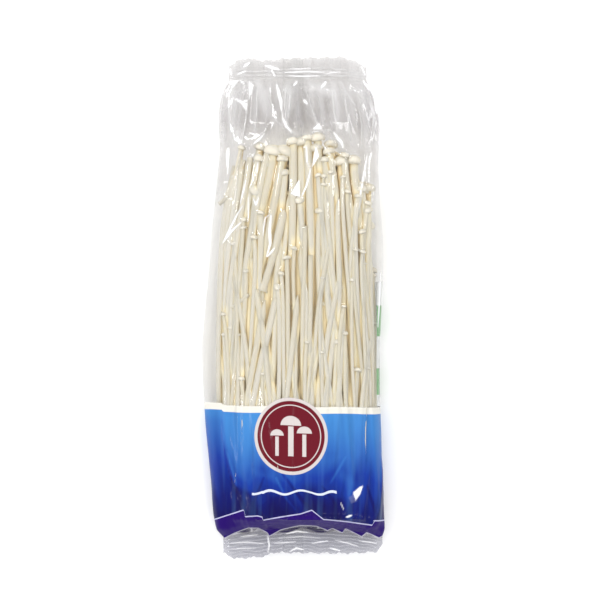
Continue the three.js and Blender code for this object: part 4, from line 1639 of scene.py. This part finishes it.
@dataclass(frozen=True)
class Glint:
    """An area of the film: a line of some width, or with no width a filled outline without hollows.

    Args:
        points: its corners, or the points of its line.
        width: width of the line at its middle.
        soft: how far its edge fades.
        strength: how strong it is at its middle.
    """

    points: tuple[tuple[float, float], ...]
    width: float = 0.0
    soft: float = 0.6
    strength: float = 1.0

    def mark(self, x: Array, y: Array) -> Array:
        """How much of the flash lies at each place.

        Args:
            x: places across the bag.
            y: heights.

        Returns:
            0 outside the flash to 1 inside.
        """
        corners = np.array(self.points)
        if not self.width:
            turn = np.sign(np.cross(corners[1] - corners[0], corners[2] - corners[1]))
            inside = np.full(x.shape, 9.0)
            for a, b in zip(corners, np.roll(corners, -1, 0)):
                run = b - a
                side = (run[0] * (y - a[1]) - run[1] * (x - a[0])) / np.hypot(*run) * turn
                inside = np.minimum(inside, side)
            return np.clip(inside / self.soft + 0.5, 0, 1) * self.strength
        near = np.full(x.shape, 99.0)
        total = np.linalg.norm(np.diff(corners, axis=0), axis=1).sum()
        done = 0.0
        for a, b in zip(corners[:-1], corners[1:]):
            run = b - a
            length = np.hypot(*run)
            t = np.clip(((x - a[0]) * run[0] + (y - a[1]) * run[1]) / length**2, 0, 1)
            along = (done + t * length) / total
            half = self.width / 2 * (0.35 + 0.65 * np.sin(np.pi * np.clip(along, 0.02, 0.98)))
            near = np.minimum(near, np.hypot(x - a[0] - run[0] * t, y - a[1] - run[1] * t) - half)
            done += length
        return np.clip(0.5 - near / self.soft, 0, 1) * self.strength


# Painted highlights: white flashes on the film, the seals and the print where reflections would shine.
GLINTS = (
    Glint(((-30.9, 110.6), (-26, 110.8), (-28.8, 107.4)), strength=0.85),
    Glint(((-25.5, 110.8), (-23.5, 108.9)), 0.8),
    Glint(((-21.4, 110.4), (-19, 108.3), (-21, 101.8))),
    Glint(((-27.6, 101.5), (-24.4, 99.8), (-21.6, 101.1)), 1.1),
    Glint(((-25.4, 99.9), (-22.4, 95.7), (-21.9, 99.6)), strength=0.9),
    Glint(((-7.9, 108.7), (-5.8, 100.1), (-5.5, 95.7)), 1.5),
    Glint(((-5.3, 92.6), (-3.2, 87.8), (-0.5, 84.7)), 0.9),
    Glint(((0.2, 108), (1.9, 110)), 1),
    Glint(((13.6, 107), (16, 110.1)), 1.4),
    Glint(((5, 101.1), (6.9, 98.9)), 1.2),
    Glint(((9.1, 86.4), (12.5, 89.5), (13.9, 86.4))),
    Glint(((19.4, 85), (21.8, 81.6), (23.2, 80.2), (23.9, 77.5)), 1.2),
    Glint(((-19, 79.5), (-16.3, 81.6), (-14.2, 83.7)), 0.9),
    Glint(((-13.5, 117.9), (-6.7, 115.9)), 1.2),
    Glint(((-23.8, 117.3), (-21, 119.3)), 1.1),
    Glint(((33.8, 110.4), (37.5, 105.5)), 1.2),
    Glint(((39.6, 101.5), (40.2, 94.6)), 1.2),
    Glint(((-30.9, 117), (-29.8, 113.6)), 1),
    Glint(((10.8, 79.5), (12.5, 73.4), (9.5, 68.6), (8.4, 67.9), (10.1, 74.7))),
    Glint(((5, 77.5), (6.4, 78.2), (6.7, 70.6), (7.9, 68)), 0.8),
    Glint(((8.4, 68), (7.7, 63.8), (6.4, 59), (4, 53.8)), 0.9),
    Glint(((3.1, 62.4), (-1.2, 55.2), (3.3, 53.8))),
    Glint(((13.9, 79.5), (18, 73.4)), 0.6),
    Glint(((-22.4, 62.4), (-23.4, 57.6), (-25.2, 50.7)), 0.8),
    Glint(((-24.1, 49.4), (-26.5, 45.9), (-33.4, 32.2)), 0.9),
    Glint(((-24.8, 41.8), (-29.3, 37.7), (-33.7, 31.9)), 1),
    Glint(((-21.1, 54.2), (-21.4, 42.5)), 0.6),
    Glint(((-19, 53.5), (-17.6, 50), (-16.3, 53.8)), 0.9),
    Glint(((-11.1, 45.3), (-13.2, 43.9), (-14.5, 35)), 0.6),
    Glint(((-10.4, 45.3), (-11.1, 38.4), (-10.8, 31.5), (-12.5, 25.4)), 1.3),
    Glint(((-8.7, 29.5), (-12.1, 25.4)), 0.9),
    Glint(((35.5, 74), (33.8, 64.5), (32.4, 56.9), (31.4, 48)), 0.9),
    Glint(((-16.9, 70.6), (-17.2, 65.1)), 0.6),
    Glint(((-3.8, 114.6), (6, 115), (15.1, 114.6)), 0.5),
    Glint(((-2.1, 112.9), (5, 112.6), (11.8, 112.9)), 0.45),
    Glint(((-1.6, 116.2), (8.5, 116.4)), 0.4, strength=0.8),
    Glint(((15.1, 114), (22.5, 114.8)), 0.5, strength=0.8),
    Glint(((-27, 113.6), (-22.7, 115.2)), 0.6),
    Glint(((33, 117.4), (34.8, 113.4)), 0.6),
    Glint(((-10.4, 116), (-8.6, 112.4)), 0.6),
    Glint(((28.6, -87), (31.8, -84.4), (33.4, -83.8), (32, -88), (30, -90.6))),
    Glint(((25.6, -89), (33.6, -84), (31, -91.8), (27.4, -93)), soft=2.4, strength=0.16),
    Glint(((22.6, -91.4), (24.2, -95.2)), 0.5, strength=0.8),
    Glint(((-30.2, -112.2), (-22, -111.6), (-13.6, -112.4)), 0.5, strength=0.8),
    Glint(((-25.4, -109), (-16.8, -108)), 0.5, strength=0.8),
    Glint(((-29, -114.8), (-18, -114.6)), 0.4, strength=0.7),
    Glint(((-3.4, -107.6), (2, -106.4), (7.2, -107)), 0.7),
    Glint(((-9.1, -112.2), (1.4, -111.4)), 0.5, strength=0.8),
    Glint(((-7, -109.8), (4, -109), (13, -109.8)), 0.4, strength=0.7),
    Glint(((9.1, -112.2), (16.8, -111)), 0.5, strength=0.9),
    Glint(((-1.6, -116.2), (1.6, -114.4), (5.3, -115.4)), 0.7),
    Glint(((17.8, -114.4), (22.6, -115.8)), 0.7),
    Glint(((20, -110.6), (26, -112), (31.2, -113.6)), 0.5, strength=0.8),
    Glint(((-12.2, -108.6), (-11.4, -113), (-12, -116.4)), 0.6),
    Glint(((32, -111), (40.6, -112.2)), 0.5, strength=0.8),
    Glint(((25.4, -98.8), (28.2, -97.8)), 0.9),
    Glint(((41.9, 18), (41.2, 2), (40.6, -8)), 0.7),
)
# Painted highlights along bright fold lines: width, strength and points.
BRIGHT_FOLDS = tuple(
    Glint(points, width, 0.5, strength)
    for width, strength, points in (
        (0.5, 0.7, ((-8.2, 110.4), (-6.4, 100.8), (-4.8, 92), (-2, 87.4), (2, 83.5))),
        (0.4, 0.6, ((-11.5, 103), (-9.6, 97), (-8.2, 91), (-5, 87.6))),
        (0.4, 0.5, ((-3.4, 108), (-4.2, 98), (-3, 90), (-1.2, 86.6))),
        (0.4, 0.5, ((-1, 108.4), (-1.8, 99), (-2, 93))),
        (0.3, 0.6, ((5.3, 108.5), (9, 96.6), (12.4, 87.4))),
        (0.3, 0.45, ((2, 97.7), (6.4, 95.4), (11.3, 89))),
        (0.4, 0.45, ((22.6, 110.4), (28, 100.8), (36, 92))),
        (0.6, 0.35, ((18.5, 108), (19.5, 96), (21.5, 83))),
        (0.6, 0.35, ((25, 108), (25.4, 97), (27.5, 82))),
        (0.5, 0.4, ((-29, 108.5), (-31, 97), (-30.4, 84))),
        (0.5, 0.4, ((-33.6, 104), (-35.6, 90), (-36, 76))),
        (0.4, 0.55, ((-21.4, 100), (-22.6, 92), (-24.4, 81.6), (-26, 73))),
        (0.4, 0.5, ((-17.6, 107), (-17.4, 96), (-18.4, 86))),
        (0.35, 0.6, ((-1, 85.2), (4, 84.8), (12, 85.4), (20.6, 86.6))),
        (0.35, 0.5, ((12.4, 87.4), (18.4, 82.6), (20.6, 78))),
        (0.4, 0.55, ((-12.6, 86.6), (-16, 83.6), (-21.6, 80.8))),
        (0.4, 0.5, ((31, 100), (33, 88), (32.6, 76))),
        (0.5, 0.8, ((38.6, 103.5), (39.4, 99.6), (40.4, 96))),
        (0.5, 0.8, ((40.2, 91), (39.6, 87.6))),
        (0.5, 0.7, ((39.4, 84.6), (39.9, 81))),
        (0.5, 0.6, ((-33, 107.6), (-30.4, 110.4), (-27, 108.2))),
        (0.5, 0.6, ((-34.4, 103.6), (-31.4, 106.8))),
    )
)
# Painted shade along folds: dark lines added to the film's tone.
DARK_FOLDS = tuple(
    Glint(points, width, 0.7, strength)
    for width, strength, points in (
        (0.8, 0.6, ((-7.2, 110.4), (-5.4, 100.8), (-3.8, 92), (-1, 87))),
        (0.6, 0.5, ((-24.8, 98.4), (-26.4, 104), (-23, 107.4))),
        (0.9, 0.7, ((35.4, 107), (38.2, 98), (38.8, 90), (38, 76))),
        (1.1, 0.8, ((38.4, 104), (40.8, 96), (41.2, 88), (40.4, 70))),
        (0.6, 0.4, ((30.4, 100), (32, 88), (31.6, 76))),
        (0.5, 0.5, ((-20.6, 99), (-21.8, 92), (-23.6, 82))),
        (0.6, 0.4, ((6.2, 108), (10, 96.6), (13.2, 87.4))),
        (0.5, 0.5, ((-36.6, 103), (-38, 92), (-37, 76))),
    )
)
PANES = (
    Glint(((-20.6, 108), (-10.6, 108.4), (-8.8, 92), (-13, 84), (-23, 83), (-22, 96)), soft=2.4),
    Glint(((0.6, 108.8), (6, 108.4), (12, 90.4), (9, 86), (1, 85.4), (-0.6, 92)), soft=2),
    Glint(((9, 105), (19, 104), (20, 92), (14.6, 90)), soft=3),
)
# Painted light and shade on the print: lighter and darker facets and creases, with how far each moves the
# print's fade.
FACETS = (
    (6, Glint(((-33.1, -50), (-18.4, -50), (-16.6, -74), (-20.6, -86), (-27, -77), (-32.2, -64)), soft=3)),
    (6, Glint(((-19, -76), (-9, -78), (-3.4, -86), (-15.8, -94.6), (-21.6, -86)), soft=3)),
    (5, Glint(((9.2, -88), (22.6, -76.4), (33, -84), (28.4, -89), (16.8, -91.8)), soft=3)),
    (-9, Glint(((37.6, -51), (44, -51), (44, -94), (39, -101), (42.2, -56)), soft=1)),
    (4, Glint(((-16, -70), (22, -70), (14, -84), (-8, -82)), soft=4)),
    (-6, Glint(((-30.2, -82), (-21, -87), (-16.4, -96), (-22.6, -105)), soft=2)),
    (-12, Glint(((-29.8, -79.7), (-23, -94)), 0.8, 1.2)),
    (11, Glint(((-31.4, -68), (-27, -84)), 0.8, 1.2)),
    (-14, Glint(((-4.8, -78), (4.8, -91), (10, -97)), 1, 1.5)),
    (11, Glint(((-8, -80), (-3, -90), (1, -95)), 0.8, 1.2)),
    (-11, Glint(((14, -84), (20, -92), (21, -98)), 0.8, 1.2)),
    (10, Glint(((25, -70), (18, -82)), 0.8, 1.2)),
    (-12, Glint(((35.5, -84), (39.4, -97)), 0.9, 1.2)),
    (-10, Glint(((-14, -80), (-20, -95)), 0.8, 1.2)),
)
# Soft white bands on the film, partly milky haze and partly painted sheen: points, width, soft and strength.
HAZE_AND_SHEEN = (
    Glint(((-17.2, 111), (-13.4, 99), (-9, 89.6)), 5.4, 2.2),
    Glint(((-2.6, 110), (-2.2, 98), (-5, 88.6)), 4.6, 2),
    Glint(((19.2, 109.2), (20.2, 98), (21.4, 86)), 4.4, 2.2),
    Glint(((-29, 108), (-30, 97), (-29, 84)), 4.6, 2.4, 0.8),
    Glint(((32.6, 107), (35, 97), (35.4, 84)), 4, 2.2, 0.8),
    Glint(((5, 103), (9, 94), (13, 87)), 1.6, 1.2, 0.7),
    Glint(((8, 108.6), (14, 106.4), (20, 103)), 4.4, 2.4, 0.8),
    Glint(((26.4, 109), (28.4, 98), (29.4, 88)), 2.4, 1.8, 0.6),
    Glint(((-27, 84), (-29, 62), (-31, 34), (-32, 6)), 9, 5),
)
LINE_TABLE = (
    (-42, -103), (-36.2, -100.6), (-23.2, -95.4), (-22.9, -98.8), (-17, -98.4), (-14.6, -99),
    (-14.3, -100.6), (3.4, -97), (9, -95), (14.6, -99.6), (38.2, -102.4), (38.5, -100), (43, -100.2),
)
HEM_TABLE = (
    (-32.6, -110), (-28.2, -107.6), (-21.4, -104.8), (-16.6, -105), (-12.2, -107.6), (-11.4, -109.2),
    (-5.8, -106), (3.4, -103.6), (11.4, -104), (16.6, -106.4), (19, -105.2), (23.8, -107.6), (25, -105.2),
    (33, -109.4), (35.4, -107.2), (41.4, -110), (43.4, -108.8),
)


# Pleats of the front.
PLEATS = (
    Pleat(
        ((-33.4, -46), (-33.2, -60), (-31, -74), (-28.2, -83.2), (-23.4, -95.2), (-21.4, -99.2), (-20, -106)),
        1, 4, 1, 8,
    ),
    Pleat(((-16.6, -94), (-13.4, -100.8), (-11.4, -109)), 0.6, 2.5, 1, 4),
    Pleat(((42.2, -70), (42.2, -84.8), (41, -94.4), (38.2, -102.4), (33.4, -109.2)), 0.6, 2, -1, 8),
    Pleat(((9, -88), (8.6, -95), (12, -104)), 0.5, 3, -1, 3),
)
# x and y of the free edges of the two seals.
CAP_EDGE = (
    (-31, 117.6), (-27, 120), (-22, 121.6), (-14, 120.2), (-2, 121.4), (24, 122), (31, 119.6),
    (36, 116.6),
)
ROOT_EDGE = (
    (-33, -117), (-28, -119.6), (-13, -118.4), (-10, -116.6), (24, -117), (40, -116.4), (43.5, -112),
)


@dataclass
class FilmBag:
    """The film bag, as one sheet from seal to seal, draped on the mushrooms."""

    form: BagForm
    front_map: FrontMap
    finish: FilmFinish = FilmFinish()
    columns_front: int = 168
    columns_back: int = 34
    row_step: float = 0.76
    seam: float = 5.0
    seal_rows: int = 42
    crimp_pitch: float = 1.65
    crimp_height: float = 0.5
    coarse: Crumple = Crumple(8.5, 34.0, 11)
    fine: Crumple = Crumple(3.2, 13.0, 12)
    gathers: Crumple = Crumple(3.4, 34.0, 13)
    broad: Crumple = Crumple(7.5, 90.0, 21)
    narrow: Crumple = Crumple(3.2, 60.0, 22)
    # Facets of painted light and shade on the print.
    tones: Crumple = Crumple(9.0, 22.0, 23)
    pleats: tuple[Pleat, ...] = PLEATS

    def slack(self, y: Array) -> Array:
        """How loose the film is.

        Args:
            y: heights.

        Returns:
            From 0, tight on the stems, to 1, empty.
        """
        over_caps = np.clip((y - 78) / 12, 0, 1)
        at_root = 0.5 * np.clip((-y - 88) / 14, 0, 1)
        return np.maximum(over_caps, at_root)

    def wrinkles(self, fan: Array, y: Array, calm: Array) -> Array:
        """How far the film's wrinkles stand out.

        Args:
            fan: places across the film, on folds that draw together at the seals.
            y: heights.
            calm: where the film lies smooth, from 0 to 1.

        Returns:
            The distance at each place.
        """
        top = np.clip((y - 76) / 14, 0, 1)
        root = 0.5 * np.clip((-y - 88) / 14, 0, 1)
        out = self.coarse.heights(fan, y) * (0.3 + 0.7 * top + 3.0 * root)
        out += self.fine.heights(fan, y) * (0.12 + 0.15 * top + 0.8 * root)
        out += (self.broad.heights(fan, y) * 3.4 + self.narrow.heights(fan, y) * 0.5) * top
        fade = np.clip(1 - np.abs(y - 112) / 34, 0, 1) ** 0.7 + np.clip(1 - np.abs(y + 109) / 24, 0, 1)
        out += self.gathers.heights(fan, y) * fade * np.where(y < 0, 1.6, 0.9)
        return out * (1 - 0.8 * calm) + np.where(y < 0, 0.9 * fade + 1.1 * root, 0)

    def folded(self, x: Array, y: Array) -> tuple[Array, Array, Array]:
        """The listed pleats of the front.

        Args:
            x: places across the bag.
            y: heights.

        Returns:
            How far the film stands out, how sharply it is creased, and how far the pleats' painted shade
            moves the print's fade there.
        """
        out, crease, shade = np.zeros(x.shape), np.zeros(x.shape), np.zeros(x.shape)
        for p in self.pleats:
            line = np.array(p.line)[::-1]
            left = (np.interp(y, line[:, 1], line[:, 0]) - x) * p.side
            fade = np.clip((line[-1, 1] - y) / 7, 0, 1)
            slope = np.where(left > 0, np.exp(-np.abs(left) / p.width), np.clip(1 + left / 0.5, 0, 1))
            out += p.height * fade * slope
            crease += fade * np.clip(1 - np.abs(left) / 0.7, 0, 1) * 0.6
            shade -= fade * p.shade * np.clip(left / 0.5 + 0.5, 0, 1)
        return out, crease, shade

    def bends(self, out: Array) -> Array:
        """How sharply a relief on the film's grid is bent.

        Args:
            out: the relief.

        Returns:
            From 0, even, to 1, creased.
        """
        bend = np.zeros(out.shape)
        for axis in (0, 1):
            bend += np.abs(np.roll(out, 1, axis) + np.roll(out, -1, axis) - 2 * out)
        return np.clip(bend / 0.35 - 0.15, 0, 1)

    def print_marks(self, s: Array, x: Array, y: Array, front: Array) -> Levels:
        """Places on the print.

        Args:
            s: places across the flat film.
            x: places across the bag.
            y: heights.
            front: 1 on the front and 0 on the back.

        Returns:
            The attributes film_s, film_v, hem and glint.
        """
        line, hem = np.array(LINE_TABLE), np.array(HEM_TABLE)
        fade = np.clip((-y - 84) / 10, 0, 1)
        shift = np.where(front > 0, np.interp(x, line[:, 0], line[:, 1]) + 100.6, 0.8 * np.sin(s / 6))
        lapped = 0.9 * np.clip((-33.3 - x) / 0.6, 0, 1) * front * np.clip((y + 80) / 20, 0, 1)
        slant = 0.014 * np.clip(s, -45, 45) + 0.15 * np.sin(s / 5)
        edge = np.where(front > 0, np.interp(x, hem[:, 0], hem[:, 1]), -106.5 + 1.2 * np.sin(s / 3.1))
        glint = np.zeros(x.shape)
        # Painted highlights on the front.
        for flash in GLINTS + BRIGHT_FOLDS:
            glint = np.maximum(glint, flash.mark(x, y))
        down = y + slant - lapped - shift * fade
        return {"film_s": s, "film_v": down, "hem": y - edge, "glint": glint * front}

    def grid(self) -> tuple[Array, Levels]:
        """Lays out the whole sheet.

        Returns:
            Its points and its attributes.
        """
        low, high = self.form.outline[0][0], self.form.outline[-1][0]
        ys = np.linspace(low, high, int((high - low) / self.row_step))
        rings = [self.form.ring(float(y), self.columns_front, self.columns_back, self.seam) for y in ys]
        points = np.array([ring for ring, _ in rings])
        s = np.array([place for _, place in rings])
        y = np.broadcast_to(ys[:, None], s.shape)
        x, z = points[..., 0].copy(), points[..., 1].copy()
        normal_x, normal_z = self.normals(x, z)
        front = np.zeros(s.shape)
        front[:, self.columns_back : self.columns_back + self.columns_front] = 1
        folded, sharp, shade = self.folded(x, y)
        slack = self.slack(y)
        width = s[:, -1:] - s[:, :1]
        fan = s * (width.max() / width)
        calm = np.max([pane.mark(x, y) for pane in PANES], axis=0) * front
        out = self.wrinkles(fan, y, calm) - 0.9 * slack + folded * front
        lowest = -0.3 - 4 * slack * np.clip(1.6 - 2 * np.abs(normal_x), 0, 1)
        out = np.maximum(out, np.where(y < 74, -0.3, lowest))
        out = out * np.clip((high - y) / 5, 0, 1) * np.clip((y - low) / 4, 0, 1)
        out = np.where(normal_z < -0.6, np.clip(out, -1.5, 0), out)
        world_y = y + self.form.root_share(y) * self.form.root_rise(x)
        sunk = z - self.front_map.read(self.front_map.bridged, x, world_y) - 0.22
        tight = front * (1 - slack) * np.clip((self.form.section(y)["half"] - np.abs(x - 2)) / 6, 0, 1)
        z = z + normal_z * out - np.clip(sunk, 0, 2.6) * tight
        x = x + normal_x * out
        held = self.front_map.read(self.front_map.bare, x, world_y) + 0.12
        z = np.where((front > 0) & (normal_z > 0.2), np.maximum(z, held), np.maximum(z, 0.05))
        marks = self.print_marks(s, x, world_y, front)
        haze_and_sheen = np.max([band.mark(x, y) for band in HAZE_AND_SHEEN], axis=0) * front
        # crease: whitening along creases, partly real and partly painted highlight.
        marks["crease"] = np.clip(self.bends(out) * (1 - 0.55 * slack) + sharp * front + 0.3 * haze_and_sheen, 0, 1)
        beside = np.clip((self.form.column(self.form.bunch_left, 1, y) + 1.5 - x) / 3, 0, 1)
        lapped = 1 - 0.5 * np.clip((self.seam + 0.6 - np.abs(x)) / 0.8, 0, 1) * (1 - front)
        # Painted shade from the wrinkles' slopes: facets sloping one way across the film take a darker tone,
        # the others lighter.
        lean = np.clip(np.gradient(out, axis=1) * 2.2, -0.5, 0.5)
        tone = 0.64 + 0.55 * smoothed(lean, 12) + 0.22 * calm - 0.3 * haze_and_sheen
        # The tone also lightens towards the cap seal and darkens towards the right edge; the dark folds add
        # painted shade.
        tone -= 0.2 * np.clip((y - 96) / 10, 0, 1)
        tone += 0.45 * np.clip((x - 33) / 5, 0, 1) * np.clip((y - 70) / 20, 0, 1)
        over_caps = np.clip((y - 82 + 0.021 * (x - 4) ** 2 * front) / 9, 0, 1)
        tone += np.max([fold.mark(x, y) for fold in DARK_FOLDS], axis=0) * front
        marks["veil"] = np.maximum(tone * over_caps, beside * 0.15) * lapped
        marks["fan"] = fan
        # Painted light and shade on the print from facets, pleats and the wrinkles' slopes, which move its
        # fade.
        facets = self.tones.heights(fan, y) * (10 + 12 * np.clip((-y - 68) / 20, 0, 1))
        facets += sum(lift * facet.mark(x, world_y) for lift, facet in FACETS)
        marks["painted_print_shade"] = (shade + facets + 9 * lean) * front
        return self.with_seals(np.stack([x, world_y, z], -1), marks, lapped)

    def normals(self, x: Array, z: Array) -> tuple[Array, Array]:
        """Outward direction of the film in each cross-section.

        Args:
            x: its places across the bag.
            z: its levels.

        Returns:
            The direction's two parts.
        """
        dx, dz = np.gradient(x, axis=1), np.gradient(z, axis=1)
        size = np.hypot(dx, dz) + 1e-9
        return -dz / size, dx / size

    def with_seals(self, points: Array, marks: Levels, lapped: Array) -> tuple[Array, Levels]:
        """Adds the two crimped seals to the sheet.

        Args:
            points: the sheet's points.
            marks: its attributes.
            lapped: how much of its tone the film keeps, less where two layers lap.

        Returns:
            Points and attributes with the seals' rows.
        """
        for row, end in ((0, -1), (-1, 1)):
            edge = points[row]
            x, start = edge[None, :, 0], edge[None, :, 1]
            t = np.linspace(0, 1, self.seal_rows + 1)[1:, None]
            y = start + (self.seal_edge(x, end) - start) * t
            wander = 0.9 * np.sin(x * 0.21 + 2 * end) + 0.5 * np.sin(x * 0.63)
            phase = (y - start + wander * t) / self.crimp_pitch
            wave = 2 * np.abs(2 * (phase - np.floor(phase + 0.5))) - 1
            pressed = np.clip(0.5 + 1.6 * self.coarse.heights(np.broadcast_to(x, y.shape), y * 5), 0.1, 1)
            lined = np.clip(t * 8, 0, 1) * pressed * (np.clip((0.6 - t) / 0.08, 0.1, 1) if end > 0 else 1.0)
            ridge = self.crimp_height / 2 * wave * lined
            level = (edge[:, 2].min() + edge[:, 2].max()) / 2
            flat = np.clip(t * 6, 0, 1)
            gap = (edge[None, :, 2] - level) * (1 - flat) + np.sign(edge[None, :, 2] - level) * 0.1 * flat
            across = np.broadcast_to(x, y.shape)
            crumple = self.coarse.heights(across, y * 2) * 1.4 + self.gathers.heights(across, y * 2) * 1.0
            z = np.maximum(level + gap + ridge + crumple * t, 0.06)
            extra = {
                "film_s": np.broadcast_to(marks["film_s"][row][None], z.shape),
                "film_v": marks["film_v"][row][None] + (y - start),
                "hem": marks["hem"][row][None] + (y - start),
                # Painted highlights on the seals.
                "glint": np.max([flash.mark(across, y) for flash in GLINTS], axis=0),
                # Painted light and shade on the crimps: the ridges' tops turn milky and the tone rises and
                # falls with them.
                "crease": np.clip((wave - 0.45) / 0.35, 0, 1) * lined,
                "veil": (0.45 if end > 0 else 1.0) * lapped[row][None] * (1 - 0.3 * wave * lined),
                "painted_print_shade": np.zeros(z.shape),
                "fan": np.broadcast_to(marks["fan"][row][None], z.shape),
            }
            rows = np.stack([across, y, z], -1)
            if end < 0:
                points = np.concatenate([rows[::-1], points])
                marks = {key: np.concatenate([extra[key][::-1], marks[key]]) for key in marks}
            else:
                points = np.concatenate([points, rows])
                marks = {key: np.concatenate([marks[key], extra[key]]) for key in marks}
        return points, marks

    def seal_edge(self, x: Array, end: int) -> Array:
        """Free edge of a seal.

        Args:
            x: places across the bag.
            end: 1 at the cap end and -1 at the root end.

        Returns:
            Its height at each place.
        """
        ragged = 0.35 * np.sin(x * 0.9) + 0.25 * np.sin(x * 2.3 + 1)
        table = np.array(CAP_EDGE if end > 0 else ROOT_EDGE)
        return np.interp(x, table[:, 0], table[:, 1]) + ragged

    def build(self) -> Piece:
        """Builds the bag.

        Returns:
            The piece.
        """
        points, marks = self.grid()
        draft = MeshDraft()
        draft.add_grid(points, marks, closed=False)
        bag = draft.build("film_bag", self.finish.make())
        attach(bag, "root")
        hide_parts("bag")
        return bag


# ---------------------------------------------------------------- studio


# The soft lights: name, place, width and height, watts, and whether they are mirrored.
SOFTBOXES = (
    ("left_sheet", (-1.15, 0.1, 1.0), (0.8, 0.8), 2.6, False),
    ("right_sheet", (1.15, -0.1, 1.0), (0.8, 0.8), 2.6, False),
    ("head_sheet", (-0.1, 1.15, 1.0), (0.8, 0.8), 2.6, False),
    ("foot_sheet", (0.1, -1.15, 1.0), (0.8, 0.8), 2.6, False),
    ("overhead_sheet", (0.0, 0.0, 2.3), (2.4, 2.4), 24.0, False),
    ("crown_left_strip", (-0.55, 0.95, 0.62), (0.12, 0.5), 2.2, True),
    ("crown_right_strip", (0.6, 0.9, 0.62), (0.12, 0.5), 1.6, True),
    ("head_left_box", (-0.55, 0.45, 0.85), (0.12, 0.3), 2.0, True),
    ("head_right_box", (0.6, 0.4, 0.8), (0.12, 0.3), 1.2, True),
    ("left_box", (-0.75, -0.2, 0.6), (0.12, 0.3), 1.2, True),
    ("foot_right_box", (0.35, -0.65, 0.75), (0.25, 0.12), 1.0, True),
)


@dataclass
class Studio:
    """Pale floor, soft lights and the camera over the bag."""

    frame_width: float = 0.288
    middle: tuple[float, float] = (0.00336, 0.0048)
    level: float = 0.010
    distance: float = 1.6

    def floor(self) -> None:
        """Lays the pale floor."""
        mesh = bpy.data.meshes.new("floor")
        size = 4.0
        corners = [(x * size, y * size, -0.0003) for x, y in ((-1, -1), (1, -1), (1, 1), (-1, 1))]
        mesh.from_pydata(corners, [], [(0, 1, 2, 3)])
        made = bpy.data.objects.new("floor", mesh)
        bench = NodeBench("pale_floor")
        shader = bench.node("ShaderNodeBsdfPrincipled")
        grain = bench.noise(bench.node("ShaderNodeTexCoord").outputs["Object"], 30.0)
        tone = bench.blend(grain, (0.93, 0.93, 0.93, 1.0), (0.95, 0.95, 0.95, 1.0))
        bench.feed(shader.inputs["Base Color"], tone)
        shader.inputs["Roughness"].default_value = 0.8
        shader.inputs["Specular IOR Level"].default_value = 0.1
        mesh.materials.append(bench.finish(shader.outputs[0]))
        bpy.context.scene.collection.objects.link(made)

    def softbox(
        self, name: str, place: tuple[float, float, float], size: tuple[float, float], watts: float
    ) -> Piece:
        """Adds a rectangular soft light aimed at the bag.

        Args:
            name: its name.
            place: where it is, in metres.
            size: its width and height, in metres.
            watts: its power.

        Returns:
            The light.
        """
        data = bpy.data.lights.new(name, "AREA")
        data.shape = "RECTANGLE"
        data.size, data.size_y = size
        data.energy = watts
        made = bpy.data.objects.new(name, data)
        made.location = place
        made.rotation_euler = (Vector((0, 0.01, 0.01)) - Vector(place)).to_track_quat("-Z", "Y").to_euler()
        bpy.context.scene.collection.objects.link(made)
        return made

    def build(self) -> None:
        """Builds the studio."""
        scene = bpy.context.scene
        self.floor()
        world = bpy.data.worlds.new("studio_air")
        world.use_nodes = True
        back = world.node_tree.nodes["Background"]
        back.inputs[0].default_value = (1.0, 1.0, 1.0, 1.0)
        back.inputs[1].default_value = 0.42
        scene.world = world
        for name, place, size, watts, mirrored in SOFTBOXES:
            self.softbox(name, place, size, watts).visible_glossy = mirrored
        data = bpy.data.cameras.new("camera")
        data.lens_unit = "FOV"
        data.angle = 2 * math.atan(self.frame_width / 2 / self.distance)
        data.clip_end = 50
        camera = bpy.data.objects.new("camera", data)
        camera.location = (self.middle[0], self.middle[1], self.level + self.distance)
        scene.collection.objects.link(camera)
        scene.camera = camera
        scene.view_settings.view_transform = "Standard"
        scene.cycles.transparent_max_bounces = 24


def main() -> None:
    """Builds every piece."""
    logging.basicConfig(level=logging.INFO, format="%(name)s: %(message)s")
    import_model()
    form = BagForm()
    packing = StemPacking(form)
    packing.sow()
    packing.pack()
    LOG.info("packed %d mushrooms", len(packing.mushrooms))
    front_map = FrontMap(form, packing)
    front_map.build()
    made = Bunch(form, packing, front_map).build()
    made += LooseMushrooms(form, made[0].data.materials[0]).build()
    made.append(FilmBag(form, front_map).build())
    for piece in made:
        LOG.info("%s: %d vertices, %d faces", piece.name, len(piece.data.vertices), len(piece.data.polygons))
    Studio().build()


if __name__ == "__main__":
    main()
